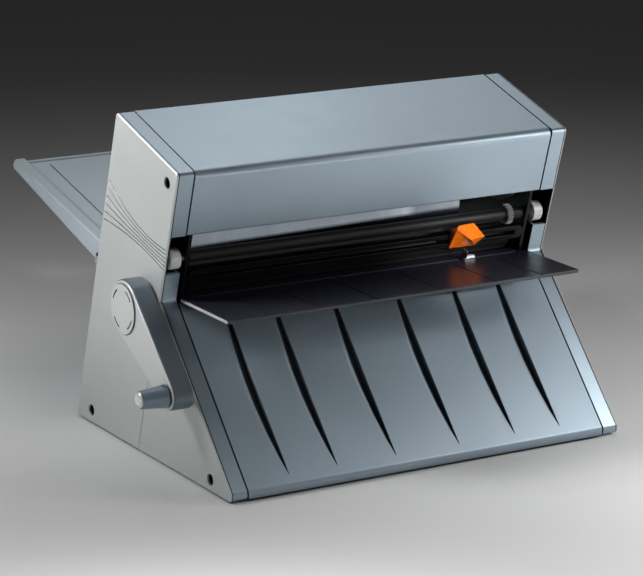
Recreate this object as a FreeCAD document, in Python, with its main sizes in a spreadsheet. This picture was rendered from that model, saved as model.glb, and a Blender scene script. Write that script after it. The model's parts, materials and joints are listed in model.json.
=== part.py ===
import FreeCAD, Part
import math
import os

import Sketcher
from FreeCAD import Placement, Rotation, Vector

# Hand-cranked tabletop cold roll laminator.
# Axes: +X to the operator's right, +Y to the rear, +Z up. The origin is on the
# surface the machine stands on, midway between the side covers, below the front lip.
# "Head frame": the body leans forward, so pieces of the head are drawn with
# y = distance back from the front face and z = height above the top front edge,
# then turned by the lean.

DIMENSIONS = [
    # the side outline
    ("cover_span", 430.0, "outside width over both side covers"),
    ("head_y", 97.4, "top front edge of the head, back from the front lip"),
    ("head_z", 283.9, "top front edge of the head, above the bottom of the covers"),
    ("lean", 16.5, "forward lean of the head, degrees"),
    ("top_depth", 128.0, "depth of the head along its top"),
    ("front_face", 134.0, "length of the front face from the top to the waist"),
    ("lip_rise", 8.0, "height of the upright lip at the foot of the ramp"),
    ("foot_lift", 2.0, "how far the feet hold the covers off the table"),
    # side covers and frames
    ("cover_thick", 3.0, "wall of the side covers"),
    ("cover_edge", 2.0, "rounding of the outer edge of the side covers"),
    ("cover_corner", 4.0, "corner radius of the side outline"),
    ("seam_gap", 0.8, "gap at the seam between side cover and front cheek"),
    ("frame_inner", 197.0, "half width between the side frames"),
    ("frame_wall", 3.0, "wall of the side frames"),
    ("window_top", 66.0, "top of the knob window, below the head's top"),
    ("window_bottom", 105.5, "bottom of the knob window, below the head's top"),
    ("window_depth", 24.0, "how far the knob window is cut back"),
    ("window_open", 3.0, "how far the window cut runs out past the front face"),
    ("cup_radius", 7.6, "outside radius of a screw cup"),
    ("cup_bore", 5.7, "bore radius of a screw cup"),
    ("cup_depth", 8.5, "how far a screw cup reaches inward past the cover"),
    ("cup_floor", 2.0, "floor of a screw cup"),
    ("screw_hole", 1.9, "clearance hole radius for a cover screw"),
    ("screw_head", 3.8, "head radius of a cover screw"),
    ("screw_head_high", 2.4, "head height of a cover screw"),
    ("screw_shank", 1.6, "shank radius of a cover screw"),
    ("screw_long", 6.0, "shank length of a cover screw"),
    ("screw_head_back", 16.5, "top cover screw: back from the head's front face"),
    ("screw_head_down", 17.5, "top cover screw: below the head's top"),
    ("screw_rear_y", 281.0, "rear cover screw: back from the front lip"),
    ("screw_rear_z", 13.0, "rear cover screw: above the bottom of the cover"),
    ("screw_toe_y", 38.0, "cheek screw: back from the front lip"),
    ("screw_toe_z", 11.5, "cheek screw: above the bottom of the cheek"),
    ("crank_hole", 8.0, "radius of the crank shaft hole in cover and frame"),
    ("groove_depth", 0.8, "depth of the decorative grooves"),
    ("groove_width", 1.1, "width of the decorative grooves"),
    # head skins
    ("skin", 3.0, "wall of the moulded skins"),
    ("parting", 1.2, "gap between a skin and the side frames"),
    ("head_round", 7.0, "rounding of the top front edge"),
    ("rear_round", 2.7, "rounding of the top rear edge"),
    ("front_edge_round", 1.35, "rounding of the top cover's lower front edge"),
    ("front_drop", 66.0, "length of the top cover down the front face"),
    ("slot_top", 143.0, "top of the feed slot, below the head's top"),
    ("slot_bottom", 178.0, "bottom of the feed slot, below the head's top"),
    ("rear_foot_gap", 4.0, "gap under the rear panel"),
    ("slot_lip", 6.0, "depth of the lips along the feed slot"),
    # ramp panel
    ("ramp_short", 4.0, "how far the ramp panel stops short of the waist"),
    ("ramp_lip_round", 5.0, "rounding of the ramp's lower lip"),
    ("ramp_lip_gap", 0.6, "gap under the ramp's lower lip"),
    ("slash_wide", 12.6, "width of a slash where it is widest"),
    ("slash_deep", 8.5, "depth of a slash where it is deepest"),
    ("slash_tip", 10.0, "lower tip of a slash, up the ramp from the lip"),
    ("slash_top", 188.0, "upper end of a slash, up the ramp from the lip"),
    ("slash_wall", 2.2, "wall behind a slash"),
    ("slash_inner", 35.0, "first pair of slashes, from the middle"),
    ("slash_middle", 98.5, "second pair of slashes, from the middle"),
    ("slash_outer", 150.0, "third pair of slashes, from the middle"),
    # exit shelf
    ("shelf_half", 194.0, "half width of the shelf"),
    ("shelf_tongue", 186.0, "half width of the part inside the opening"),
    ("shelf_front", 42.5, "front edge of the shelf"),
    ("shelf_shoulder", 133.0, "where the shelf narrows"),
    ("shelf_rear", 149.0, "rear edge of the shelf"),
    ("shelf_top", 157.0, "top of the shelf, above the bottom of the covers"),
    ("shelf_thick", 3.5, "thickness of the shelf"),
    ("shelf_corner", 2.5, "corner radius of the shelf's front corners"),
    ("shelf_edge", 0.9, "rounding of the shelf's front edge"),
    ("shelf_groove", 1.4, "width of a front-to-back groove"),
    ("shelf_groove_deep", 0.9, "depth of the grooves in the shelf"),
    ("shelf_groove_stop", 12.0, "rear end of the grooves, in front of the shoulder"),
    ("cut_groove_y", 131.6, "cutting groove, back from the front lip"),
    ("cut_groove_wide", 4.4, "width of the cutting groove"),
    ("cut_groove_deep", 1.8, "depth of the cutting groove"),
    ("cut_groove_inset", 4.0, "ends of the cutting groove, from the sides of the shelf"),
    ("beam_high", 13.0, "height of the shelf beam"),
    ("beam_front", 141.0, "front of the shelf beam"),
    ("beam_deep", 7.5, "depth of the shelf beam"),
    ("beam_wall", 2.0, "wall of the shelf beam"),
    ("feed_front", 178.0, "front edge of the feed plate"),
    ("feed_rear", 263.0, "rear edge of the feed plate"),
    ("feed_thick", 1.5, "thickness of the feed plate"),
    ("feed_flange", 8.6, "height of the feed plate with its rear flange"),
    # bearing plates and rollers; "back" and "down" are in the head frame
    ("plate_inner", 188.0, "half width between the bearing plates"),
    ("plate_thick", 3.0, "thickness of a bearing plate"),
    ("plate_corner", 2.5, "corner radius of a bearing plate"),
    ("nip_back", 23.5, "both nip rollers, back from the front face"),
    ("lower_down", 151.0, "lower nip roller, below the head's top"),
    ("nip_step", 24.0, "distance between the nip roller axes"),
    ("nip_radius", 11.85, "radius of the rubber nip rollers"),
    ("nip_half", 180.0, "half length of the rubber on the nip rollers"),
    ("rubber_chamfer", 1.0, "chamfer at the ends of the rubber"),
    ("shaft_shoulder", 2.0, "how far the thick part of a shaft runs past the rubber"),
    ("shaft_end", 0.2, "how far a shaft stands out past its gear"),
    ("sleeve_bore", 7.0, "radius of the steel under the rubber"),
    ("shaft_radius", 5.0, "radius of the roller journals"),
    ("journal_play", 0.05, "radial play of a journal"),
    ("bush_radius", 7.0, "outside radius of a bush"),
    ("bush_flange", 9.0, "flange radius of a bush"),
    ("bush_flange_thick", 2.0, "flange thickness of a bush"),
    ("gear_teeth", 24.0, "teeth of each nip gear"),
    ("gear_face", 4.8, "face width of a nip gear"),
    ("gear_side", 191.6, "inner face of the nip gears, from the middle"),
    ("guide_back", 11.0, "film guide roller, back from the front face"),
    ("guide_down", 95.0, "film guide roller, below the head's top"),
    ("guide_radius", 6.0, "radius of the film guide roller"),
    ("guide_half", 186.0, "half length of the film guide roller"),
    ("guide_shaft", 4.0, "radius of the guide roller shaft"),
    ("guide_play", 0.06, "radial play of the guide roller shaft"),
    ("knob_radius", 10.0, "radius of the white end knobs"),
    ("knob_start", 197.0, "inner face of the end knobs, from the middle"),
    ("knob_length", 11.0, "length of an end knob"),
    ("knob_wall", 2.0, "end wall of a knob"),
    ("knob_chamfer", 1.5, "chamfer of a knob"),
    ("ring_radius", 10.0, "tip radius of the toothed ring"),
    ("ring_start", 167.0, "inner face of the toothed ring, from the middle"),
    ("ring_length", 6.0, "length of the toothed ring"),
    ("ring_teeth", 22.0, "teeth of the toothed ring"),
    # film rolls
    ("film_left", 182.5, "left edge of the film, from the middle"),
    ("film_right", 117.5, "right edge of the film, from the middle"),
    ("core_half", 183.0, "half length of a film core"),
    ("upper_roll_back", 64.0, "upper film roll, back from the front face"),
    ("upper_roll_down", 54.0, "upper film roll, below the head's top"),
    ("lower_roll_back", 62.0, "lower film roll, back from the front face"),
    ("lower_roll_down", 224.0, "lower film roll, below the head's top"),
    ("film_radius", 40.0, "radius of the wound film"),
    ("core_radius", 19.0, "outside radius of a film core"),
    ("core_wall", 2.5, "wall of a film core"),
    ("flange_radius", 48.0, "radius of a roll flange"),
    ("flange_thick", 2.4, "thickness of a roll flange"),
    ("plug_reach", 22.0, "how far an end plug reaches into the core"),
    ("plug_gap", 0.3, "gap between a core and the flange of its plug"),
    ("hub_radius", 12.0, "hub radius of an end plug"),
    ("hub_end", 187.4, "outer end of a plug hub, from the middle"),
    ("spindle_radius", 6.0, "radius of a film roll spindle"),
    ("spindle_start", 158.0, "inner end of a spindle, from the middle"),
    ("spindle_chamfer", 1.5, "chamfer at the inner end of a spindle"),
    ("web_thick", 0.4, "thickness of the film web"),
    ("web_gap", 0.35, "gap between the film web and what turns beside it"),
    # cutter
    ("rail_half", 186.5, "half length of the cutter rail"),
    ("rail_front", 1.0, "front of the rail, back from the front face"),
    ("rail_thick", 5.0, "thickness of the rail"),
    ("rail_top", 104.5, "top of the rail, below the head's top"),
    ("rail_high", 13.5, "height of the rail"),
    ("rail_slot", 5.2, "height of the slot in the rail"),
    ("rail_slot_end", 9.0, "end of the slot, from the end of the rail"),
    ("rail_round", 6.0, "corner radius of the rail's ends"),
    ("bracket_wide", 9.0, "width of a rail bracket"),
    ("bracket_deep", 4.0, "depth of a rail bracket"),
    ("bracket_top", 3.5, "top of a rail bracket, below the top of the rail"),
    ("bracket_low", 1.0, "bottom of a rail bracket, above the bottom of the rail"),
    ("cutter_x", 117.0, "cutter, right of the middle, at rest"),
    ("cutter_high", 93.7, "top of the cutter grip, below the head's top"),
    ("cutter_low", 119.5, "bottom of the cutter grip, below the head's top"),
    ("cutter_reach", 12.0, "how far the ridge of the cutter grip stands out"),
    ("cutter_gap", 0.4, "gap between the cutter grip and the rail"),
    ("grip_edge", 0.9, "rounding of the cutter grip's edges"),
    ("shoe_half", 12.0, "half length of the shoe in the slot"),
    ("keeper_half", 9.0, "half length of the keeper behind the rail"),
    ("keeper_high", 9.2, "height of the keeper behind the rail"),
    ("keeper_thick", 1.8, "thickness of the keeper"),
    ("blade_thick", 0.6, "thickness of the cutter blade"),
    ("blade_gap", 0.05, "gap between the cutter grip and the blade's top edge"),
    ("guard_front", 3.2, "front of the blade guard, before the cutting groove"),
    ("guard_rear", 2.0, "rear of the blade guard, behind the cutting groove"),
    ("guard_wide", 13.0, "width of the blade guard"),
    ("guard_high", 2.6, "height of the blade guard"),
    ("guard_lift", 0.5, "gap between the blade guard and the shelf"),
    ("guard_corner", 0.8, "corner radius of the blade guard"),
    # feed tray, drawn in its own frame: y out along the tray, z square to it
    ("tray_slope", 13.5, "slope of the tray at rest, degrees"),
    ("tray_hinge_back", 15.0, "hinge axis, behind the rear face"),
    ("tray_hinge_z", 162.0, "hinge axis, above the bottom of the covers"),
    ("tray_length", 215.0, "length of the tray from its hinge"),
    ("tray_start", 2.0, "front edge of the tray pan"),
    ("tray_half", 196.0, "half width over the tray rails"),
    ("rail_width", 12.0, "width of a tray rail"),
    ("tray_pan", 2.5, "thickness of the tray pan"),
    ("tray_pan_top", 6.0, "top of the pan above the hinge axis"),
    ("tray_rail_rise", 12.0, "top of a tray rail above the hinge axis"),
    ("tray_rail_root", 12.0, "bottom of a tray rail below the hinge axis"),
    ("tray_tip_top", 9.0, "top of a tray rail at the tip"),
    ("tray_tip_bottom", 1.5, "bottom of a tray rail at the tip, below the axis line"),
    ("tray_pin", 3.0, "radius of a tray hinge pin"),
    ("tray_groove", 1.6, "width of a guide groove in the tray"),
    ("tray_groove_deep", 0.8, "depth of a guide groove in the tray"),
    ("tray_groove_start", 4.0, "front end of a guide groove, from the pan's front edge"),
    ("tray_groove_stop", 12.0, "rear end of a guide groove, from the pan's rear edge"),
    ("tray_edge", 2.6, "rounding of the outer edges of a tray rail"),
    ("hinge_gap", 0.6, "gap between a tray hinge bracket and the side frame's inner face"),
    ("hinge_thick", 6.0, "thickness of a tray hinge bracket"),
    ("hinge_pin_past", 0.5, "how far a hinge pin stands out of its bracket, under its head"),
    ("hinge_head", 5.0, "head radius of a hinge pin"),
    ("hinge_head_thick", 1.6, "head thickness of a hinge pin"),
    ("hinge_pin_back", 1.0, "how far a hinge pin stops short of the tray pan"),
    # crank
    ("crank_face", 23.0, "outer face of the crank arm, out from the side cover"),
    ("crank_thick", 20.0, "thickness of the crank arm"),
    ("crank_throw", 105.0, "crank axis to grip axis"),
    ("crank_droop", 36.2, "the arm at rest, below the horizontal, degrees"),
    ("crank_hub", 28.0, "radius of the crank hub"),
    ("crank_end", 14.0, "radius of the grip end of the arm"),
    ("crank_edge", 3.0, "rounding of the arm"),
    ("crank_floor", 4.0, "wall left outside the end of the crank shaft"),
    ("cap_radius", 24.0, "radius of the hub disc"),
    ("cap_thick", 1.6, "thickness of the hub disc"),
    ("cap_edge", 0.9, "rounding of the hub disc"),
    ("cap_turn", 20.0, "how far the slits are turned from upright, degrees"),
    ("slit_radius", 18.6, "inner radius of the four slits"),
    ("slit_width", 1.6, "width of a slit"),
    ("slit_angle", 38.0, "length of a slit, degrees"),
    ("slit_past", 0.3, "how far a slit stops above the crank arm"),
    ("pin_radius", 3.5, "radius of the grip pin"),
    ("grip_gap", 1.2, "gap between arm and grip"),
    ("grip_length", 26.0, "length of the grip"),
    ("grip_root", 11.0, "radius of the grip at the arm"),
    ("grip_end", 8.4, "radius of the grip at its outer end"),
    ("grip_chamfer", 1.0, "chamfer of the grip at the arm"),
    ("grip_flat_out", 7.3, "grip axis to the flat side, at the outer end"),
    ("grip_flat_in", 8.9, "grip axis to the flat side, at the arm"),
    ("grip_cap_inset", 0.9, "how far the grip cap is smaller than the grip's end"),
    ("grip_cap_dome", 3.2, "height of the domed grip cap"),
    # base
    ("base_front", 9.0, "front edge of the base plate"),
    ("base_rear", 304.0, "rear edge of the base plate"),
    ("base_z", 1.0, "underside of the base plate above the bottom of the covers"),
    ("base_thick", 2.0, "thickness of the base plate"),
    ("base_flange", 14.0, "height of the base plate's rear flange"),
    ("base_flange_inset", 6.0, "rear flange, in front of the rear edge"),
    ("foot_radius", 9.0, "radius of a rubber foot"),
    ("foot_inset_x", 172.0, "feet, from the middle"),
    ("foot_front_y", 30.0, "front feet"),
    ("foot_rear_y", 284.0, "rear feet"),
    ("tie_radius", 5.0, "radius of a tie rod"),
]

doc = FreeCAD.newDocument("roll_laminator")
sheet = doc.addObject("Spreadsheet::Sheet", "Dims")
for row, (alias, value, meaning) in enumerate(DIMENSIONS, start=1):
    sheet.set("A%d" % row, alias)
    sheet.set("B%d" % row, repr(value))
    sheet.set("C%d" % row, meaning)
    sheet.setAlias("B%d" % row, alias)
doc.recompute()

SUBPARTS = []
LEFT, RIGHT = -1, 1
SIDE_NAMES = {LEFT: "left", RIGHT: "right"}


# --- expressions on the dimension sheet -------------------------------------

def d(alias):
    return "Dims." + alias


def plus(*terms):
    return "(" + " + ".join(terms) + ")"


def minus(first, second):
    return "(" + first + " - " + second + ")"


def times(*terms):
    return "(" + " * ".join(terms) + ")"


def neg(term):
    return "(-1 * " + term + ")"


def half_of(term):
    return "(" + term + " / 2)"


def number(expression):
    """Value an expression has now."""
    result = sheet.evalExpression(expression)
    return float(getattr(result, "Value", result))


PAST = "1"  # how far a cut runs on past the surface it leaves
TINY = 1e-4  # two places closer than this are the same place

SIN_LEAN = "sin(Dims.lean)"
COS_LEAN = "cos(Dims.lean)"


def head_y(back, down):
    """World y of a head-frame point."""
    return plus(d("head_y"), times(back, COS_LEAN), times(down, SIN_LEAN))


def head_z(back, down):
    """World z of a head-frame point, above the bottom of the covers."""
    return minus(plus(d("head_z"), times(back, SIN_LEAN)), times(down, COS_LEAN))


def head_point(back, down):
    return head_y(back, down), head_z(back, down)


TOE = ("0", "0")
LIP = ("0", d("lip_rise"))
WAIST = head_point("0", d("front_face"))
TOP_FRONT = (d("head_y"), d("head_z"))
TOP_REAR = head_point(d("top_depth"), "0")
REAR_FOOT = (plus(TOP_REAR[0], times(TOP_REAR[1], "tan(Dims.lean)")), "0")
SEAM_FOOT = (plus(d("head_y"), times(d("head_z"), "tan(Dims.lean)")), "0")
RAMP_ANGLE = "atan((%s - %s) / %s)" % (WAIST[1], LIP[1], WAIST[0])
RAMP_LENGTH = "((%s - %s) / sin(%s))" % (WAIST[1], LIP[1], RAMP_ANGLE)
COVER_OUTER = "(Dims.cover_span / 2)"
COVER_INNER = minus(COVER_OUTER, d("cover_thick"))


# --- sketches and features --------------------------------------------------

def new_body(name):
    body = doc.addObject("PartDesign::Body", name)
    body.Label = name
    return body


def sketch(body, plane, name, offset=None):
    """Empty sketch on one of the body's own origin planes, moved along its normal."""
    made = body.newObject("Sketcher::SketchObject", name)
    datum = next(f for f in body.Origin.OriginFeatures if f.Role == plane)
    made.AttachmentSupport = [(datum, "")]
    made.MapMode = "FlatFace"
    if offset is not None:
        made.setExpression("AttachmentOffset.Base.z", offset)
    return made


def pin_point(sk, geometry, place, at):
    """Tie one sketch point to the origin by two expressions."""
    for kind, expression in (("DistanceX", at[0]), ("DistanceY", at[1])):
        index = sk.addConstraint(
            Sketcher.Constraint(kind, -1, 1, geometry, place, number(expression)))
        if expression != "0":
            sk.setExpression("Constraints[%d]" % index, expression)


def outline(sk, corners):
    """Closed straight-sided loop through corners given as pairs of expressions."""
    points = [Vector(number(x), number(y), 0) for x, y in corners]
    count = len(points)
    first = sk.GeometryCount
    sides = [Part.LineSegment(points[i], points[(i + 1) % count]) for i in range(count)]
    sk.addGeometry(sides, False)
    for i in range(count):
        sk.addConstraint(Sketcher.Constraint("Coincident", first + i, 2,
                                             first + (i + 1) % count, 1))
    for i, corner in enumerate(corners):
        pin_point(sk, first + i, 1, corner)


def rectangle(sk, left, bottom, right, top):
    outline(sk, [(left, bottom), (right, bottom), (right, top), (left, top)])


def circle(sk, centre, radius):
    """Circle with its centre and radius tied to expressions."""
    middle = Vector(number(centre[0]), number(centre[1]), 0)
    index = sk.addGeometry(Part.Circle(middle, Vector(0, 0, 1), number(radius)), False)
    pin_point(sk, index, 3, centre)
    size = sk.addConstraint(Sketcher.Constraint("Radius", index, number(radius)))
    sk.setExpression("Constraints[%d]" % size, radius)


def extrude(body, kind, sk, length, direction):
    """Pad or pocket along (+1) or against (-1) the sketch normal; 0 is both ways."""
    feature = body.newObject("PartDesign::" + kind, kind + "_" + sk.Name)
    feature.Profile = sk
    feature.setExpression("Length", length)
    if direction == 0:
        feature.SideType = "Symmetric"
    else:
        feature.Reversed = (direction < 0) == (kind == "Pad")
    sk.Visibility = False
    return feature


def pad(body, sk, length, direction=1):
    return extrude(body, "Pad", sk, length, direction)


def pocket(body, sk, length, direction=-1):
    return extrude(body, "Pocket", sk, length, direction)


def soften(body, kind, size, choose):
    """Fillet or chamfer on the edges of the tip that the test picks."""
    doc.recompute()
    base = body.Tip
    names = ["Edge%d" % i for i, edge in enumerate(base.Shape.Edges, start=1) if choose(edge)]
    if not names:
        raise RuntimeError("no edges found on " + body.Label)
    feature = body.newObject("PartDesign::" + kind, kind + "_" + body.Name)
    feature.Base = (base, names)
    feature.setExpression("Radius" if kind == "Fillet" else "Size", size)
    doc.recompute()
    if not feature.Shape.isValid() or "Invalid" in feature.State:
        raise RuntimeError("%s failed on %s" % (kind, body.Label))
    return feature


def place(body, x="0", y="0", z="0", turn=None):
    """Put a body in the machine; turn is an angle about X."""
    body.Placement = Placement(Vector(0, 0, 0), Rotation(Vector(1, 0, 0), 10))
    for axis, expression in (("x", x), ("y", y), ("z", z)):
        body.setExpression("Placement.Base." + axis, expression)
    body.setExpression("Placement.Rotation.Angle", turn or "0")
    return body


def stand(body):
    """Lift a piece drawn above the bottom of the covers onto the feet."""
    return place(body, z=d("foot_lift"))


def in_head(body):
    """Place a piece drawn in the head frame."""
    return place(body, y=d("head_y"), z=plus(d("head_z"), d("foot_lift")), turn=d("lean"))


def on_axis(body, back, down, turn=None):
    """Place a turned piece on an axis given in the head frame."""
    y, z = head_point(back, down)
    return place(body, y=y, z=plus(z, d("foot_lift")), turn=turn)


def deliver(*objects):
    SUBPARTS.extend(objects)


def parallel_to(edge, direction):
    if edge.Curve.TypeId != "Part::GeomLine":
        return False
    along = edge.Curve.Direction
    return abs(abs(along.dot(direction)) - 1) < 1e-6


def turned(name, profile):
    """Body of revolution about X through its own origin; profile is (x, radius) pairs."""
    body = new_body(name)
    sk = sketch(body, "XZ_Plane", name + "_profile")
    outline(sk, profile)
    spin = body.newObject("PartDesign::Revolution", name + "_turn")
    spin.Profile = sk
    spin.ReferenceAxis = (sk, ["H_Axis"])
    spin.Angle = 360
    sk.Visibility = False
    return body


def tube_profile(start, end, inner, outer):
    return [(start, inner), (end, inner), (end, outer), (start, outer)]


def on_side(side, x):
    """x expression for one side of the machine."""
    return x if side == RIGHT else neg(x)


def group(name, members):
    """Several identical pieces under one name."""
    made = doc.addObject("Part::Compound", name)
    made.Label = name
    made.Links = members
    return made


def outer_edge(edge, x):
    """True when the whole edge lies in the plane at x."""
    return all(abs(v.Point.x - x) < TINY for v in edge.Vertexes)


def mirrored_pair(name, body):
    """A right-hand piece and its mirror image on the left, as one group."""
    doc.recompute()
    image = doc.addObject("Part::Mirroring", body.Name + "_mirrored")
    image.Source = body
    image.Base = Vector(0, 0, 0)
    image.Normal = Vector(1, 0, 0)
    return group(name, [body, image])


# --- side covers, cheeks and frames -----------------------------------------

SCREW_PLACES = {
    "head": head_point(d("screw_head_back"), d("screw_head_down")),
    "rear": (d("screw_rear_y"), d("screw_rear_z")),
    "toe": (d("screw_toe_y"), d("screw_toe_z")),
}


def side_plate(name, side, corners, screw_places):
    """A flat side wall with its screw cups, drawn from the outside face inward."""
    inward = -side
    body = new_body(name)
    face = sketch(body, "YZ_Plane", name + "_outline", on_side(side, COVER_OUTER))
    outline(face, corners)
    pad(body, face, d("cover_thick"), inward)
    soften(body, "Fillet", d("cover_corner"),
           lambda edge: parallel_to(edge, Vector(1, 0, 0)) and rounded_corner(edge))
    outer = side * number(COVER_OUTER)
    soften(body, "Fillet", d("cover_edge"),
           lambda edge: outer_edge(edge, outer) and not on_seam(edge))
    cups = sketch(body, "YZ_Plane", name + "_cups", on_side(side, COVER_INNER))
    bores = sketch(body, "YZ_Plane", name + "_bores", on_side(side, COVER_OUTER))
    holes = sketch(body, "YZ_Plane", name + "_holes", on_side(side, COVER_OUTER))
    for key in screw_places:
        circle(cups, SCREW_PLACES[key], d("cup_radius"))
        circle(bores, SCREW_PLACES[key], d("cup_bore"))
        circle(holes, SCREW_PLACES[key], d("screw_hole"))
    depth = plus(d("cover_thick"), d("cup_depth"))
    pad(body, cups, d("cup_depth"), inward)
    pocket(body, bores, minus(depth, d("cup_floor")), inward)
    pocket(body, holes, plus(depth, PAST), inward)
    return body


def rounded_corner(edge):
    """Corners of the side outline that are rounded: all but those on the seam."""
    return not near_seam(edge.Vertexes[0].Point)


def near_seam(point):
    """True on the line that carries the head's front face down to the floor."""
    lean = math.radians(number(d("lean")))
    across = (point.y - number(d("head_y"))) * math.cos(lean)
    across += (point.z - number(d("head_z"))) * math.sin(lean)
    below_waist = point.z < number(WAIST[1]) + 1
    return below_waist and abs(across) < number(d("seam_gap")) + 0.5


def on_seam(edge):
    return all(near_seam(v.Point) for v in edge.Vertexes)


# The fan of grooves on a side cover, as (y, z) of its upper and its lower groove: rear end,
# front end, and how far the middle is bent off the straight line. The others lie between.
GROOVE_COUNT = 6
GROOVE_REAR = (Vector(235, 252, 0), Vector(248.5, 212, 0))
GROOVE_FRONT = (Vector(121, 208, 0), Vector(126, 188, 0))
GROOVE_BEND = (Vector(2, -9, 0), Vector(2, 5, 0))


def swoosh_grooves(body, side):
    """Shallow curved grooves that fan out over the side cover."""
    sk = sketch(body, "YZ_Plane", body.Name + "_grooves", on_side(side, COVER_OUTER))
    half = number(d("groove_width")) / 2
    for step in range(GROOVE_COUNT):
        share = step / (GROOVE_COUNT - 1)
        start, end, bend = (upper + (lower - upper) * share
                            for upper, lower in (GROOVE_REAR, GROOVE_FRONT, GROOVE_BEND))
        groove_loop(sk, start, (start + end) * 0.5 + bend, end, half)
    pocket(body, sk, d("groove_depth"), -side)


def groove_loop(sk, start, bend, end, half):
    """Slim closed loop along an arc, with square ends."""
    middle = Part.Arc(start, bend, end).toShape().Curve
    centre = middle.Center
    radius = middle.Radius
    loops = []
    for reach in (radius - half, radius + half):
        points = [centre + (p - centre).normalize() * reach for p in (start, bend, end)]
        loops.append(points)
    inner, outer = loops
    first = sk.GeometryCount
    sk.addGeometry([Part.Arc(*inner), Part.LineSegment(inner[2], outer[2]),
                    Part.Arc(*outer), Part.LineSegment(outer[0], inner[0])], False)
    for i in range(4):
        sk.addConstraint(Sketcher.Constraint("Block", first + i))


def make_side_covers():
    for side in (LEFT, RIGHT):
        name = SIDE_NAMES[side] + "_side_cover"
        body = side_plate(name, side, [SEAM_FOOT, REAR_FOOT, TOP_REAR, TOP_FRONT],
                          ("head", "rear"))
        if side == LEFT:
            hole = sketch(body, "YZ_Plane", name + "_crank_hole",
                          on_side(side, COVER_OUTER))
            circle(hole, head_point(d("nip_back"), d("lower_down")), d("crank_hole"))
            pocket(body, hole, plus(d("cover_thick"), PAST), -side)
        swoosh_grooves(body, side)
        deliver(stand(body))


def make_cheeks():
    for side in (LEFT, RIGHT):
        name = SIDE_NAMES[side] + "_front_cheek"
        seam_top = (minus(WAIST[0], d("seam_gap")), WAIST[1])
        seam_foot = (minus(SEAM_FOOT[0], d("seam_gap")), "0")
        body = side_plate(name, side, [TOE, seam_foot, seam_top, LIP], ("toe",))
        deliver(stand(body))


def make_side_frames():
    """Deep moulded frame behind each cover: a rim all round and a web inside."""
    wall = d("frame_wall")
    outer = [TOE, REAR_FOOT, TOP_REAR, TOP_FRONT, WAIST, LIP]
    rear_inset = plus(times(wall, "tan(Dims.lean)"), wall + " / " + COS_LEAN)
    # At the waist and at the lip the wall turns a corner, so its inner corner lies on the mitre.
    waist_mitre, lip_mitre = times("0.57", wall), times("0.7", wall)
    inner = [
        (times("2", wall), wall),
        (minus(REAR_FOOT[0], rear_inset), wall),
        head_point(minus(d("top_depth"), wall), wall),
        head_point(wall, wall),
        head_point(wall, plus(d("front_face"), waist_mitre)),
        (times("2", wall), plus(d("lip_rise"), lip_mitre)),
    ]
    for side in (LEFT, RIGHT):
        name = SIDE_NAMES[side] + "_side_frame"
        body = new_body(name)
        face = sketch(body, "YZ_Plane", name + "_outline", on_side(side, COVER_INNER))
        outline(face, outer)
        pad(body, face, minus(COVER_INNER, d("frame_inner")), -side)
        soften(body, "Fillet", d("cover_corner"),
               lambda edge: parallel_to(edge, Vector(1, 0, 0)))
        dish = sketch(body, "YZ_Plane", name + "_dish", on_side(side, COVER_INNER))
        outline(dish, inner)
        depth = minus(minus(COVER_INNER, d("frame_inner")), wall)
        pocket(body, dish, depth, -side)
        window = sketch(body, "YZ_Plane", name + "_window", on_side(side, COVER_INNER))
        window_front, window_rear = neg(d("window_open")), d("window_depth")
        outline(window, [head_point(window_front, d("window_top")),
                         head_point(window_rear, d("window_top")),
                         head_point(window_rear, d("window_bottom")),
                         head_point(window_front, d("window_bottom"))])
        pocket(body, window, plus(depth, wall, PAST), -side)
        holes = sketch(body, "YZ_Plane", name + "_holes", on_side(side, COVER_INNER))
        for key in SCREW_PLACES:
            circle(holes, SCREW_PLACES[key], d("screw_shank"))
        if side == LEFT:
            circle(holes, head_point(d("nip_back"), d("lower_down")), d("crank_hole"))
        pocket(body, holes, plus(depth, wall, PAST), -side)
        deliver(stand(body))


def make_cover_screws():
    """Six pan-head screws, each at the bottom of its cup."""
    seat = plus(minus(COVER_INNER, d("cup_depth")), d("cup_floor"))
    profile = [(minus(seat, d("screw_long")), "0"),
               (plus(seat, d("screw_head_high")), "0"),
               (plus(seat, d("screw_head_high")), d("screw_head")),
               (seat, d("screw_head")),
               (seat, d("screw_shank")),
               (minus(seat, d("screw_long")), d("screw_shank"))]
    members = []
    for side in (LEFT, RIGHT):
        for key, (y, z) in SCREW_PLACES.items():
            name = SIDE_NAMES[side] + "_screw_" + key
            body = turned(name, [(on_side(side, x), radius) for x, radius in profile])
            place(body, y=y, z=plus(z, d("foot_lift")))
            members.append(body)
    deliver(group("side_cover_screws", members))


# --- skins of the head, the rear and the ramp --------------------------------

SKIN_WIDTH = times("2", minus(d("frame_inner"), d("parting")))


def make_top_cover():
    body = new_body("top_cover")
    sk = sketch(body, "YZ_Plane", "top_cover_profile")
    skin = d("skin")
    outline(sk, [("0", neg(d("front_drop"))), ("0", "0"), (d("top_depth"), "0"),
                 (d("top_depth"), neg(skin)), (skin, neg(skin)),
                 (skin, neg(d("front_drop")))])
    pad(body, sk, SKIN_WIDTH, 0)
    along = Vector(1, 0, 0)

    def at(edge, y, z):
        point = edge.Vertexes[0].Point
        return parallel_to(edge, along) and abs(point.y - y) < TINY and abs(point.z - z) < TINY

    depth = number(d("top_depth"))
    drop = -number(d("front_drop"))
    wall = number(skin)
    soften(body, "Fillet", d("head_round"), lambda edge: at(edge, 0, 0))
    soften(body, "Fillet", minus(d("head_round"), skin), lambda edge: at(edge, wall, -wall))
    soften(body, "Fillet", d("rear_round"), lambda edge: at(edge, depth, 0))
    soften(body, "Fillet", d("front_edge_round"),
           lambda edge: at(edge, 0, drop) or at(edge, wall, drop))
    deliver(in_head(body))


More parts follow.
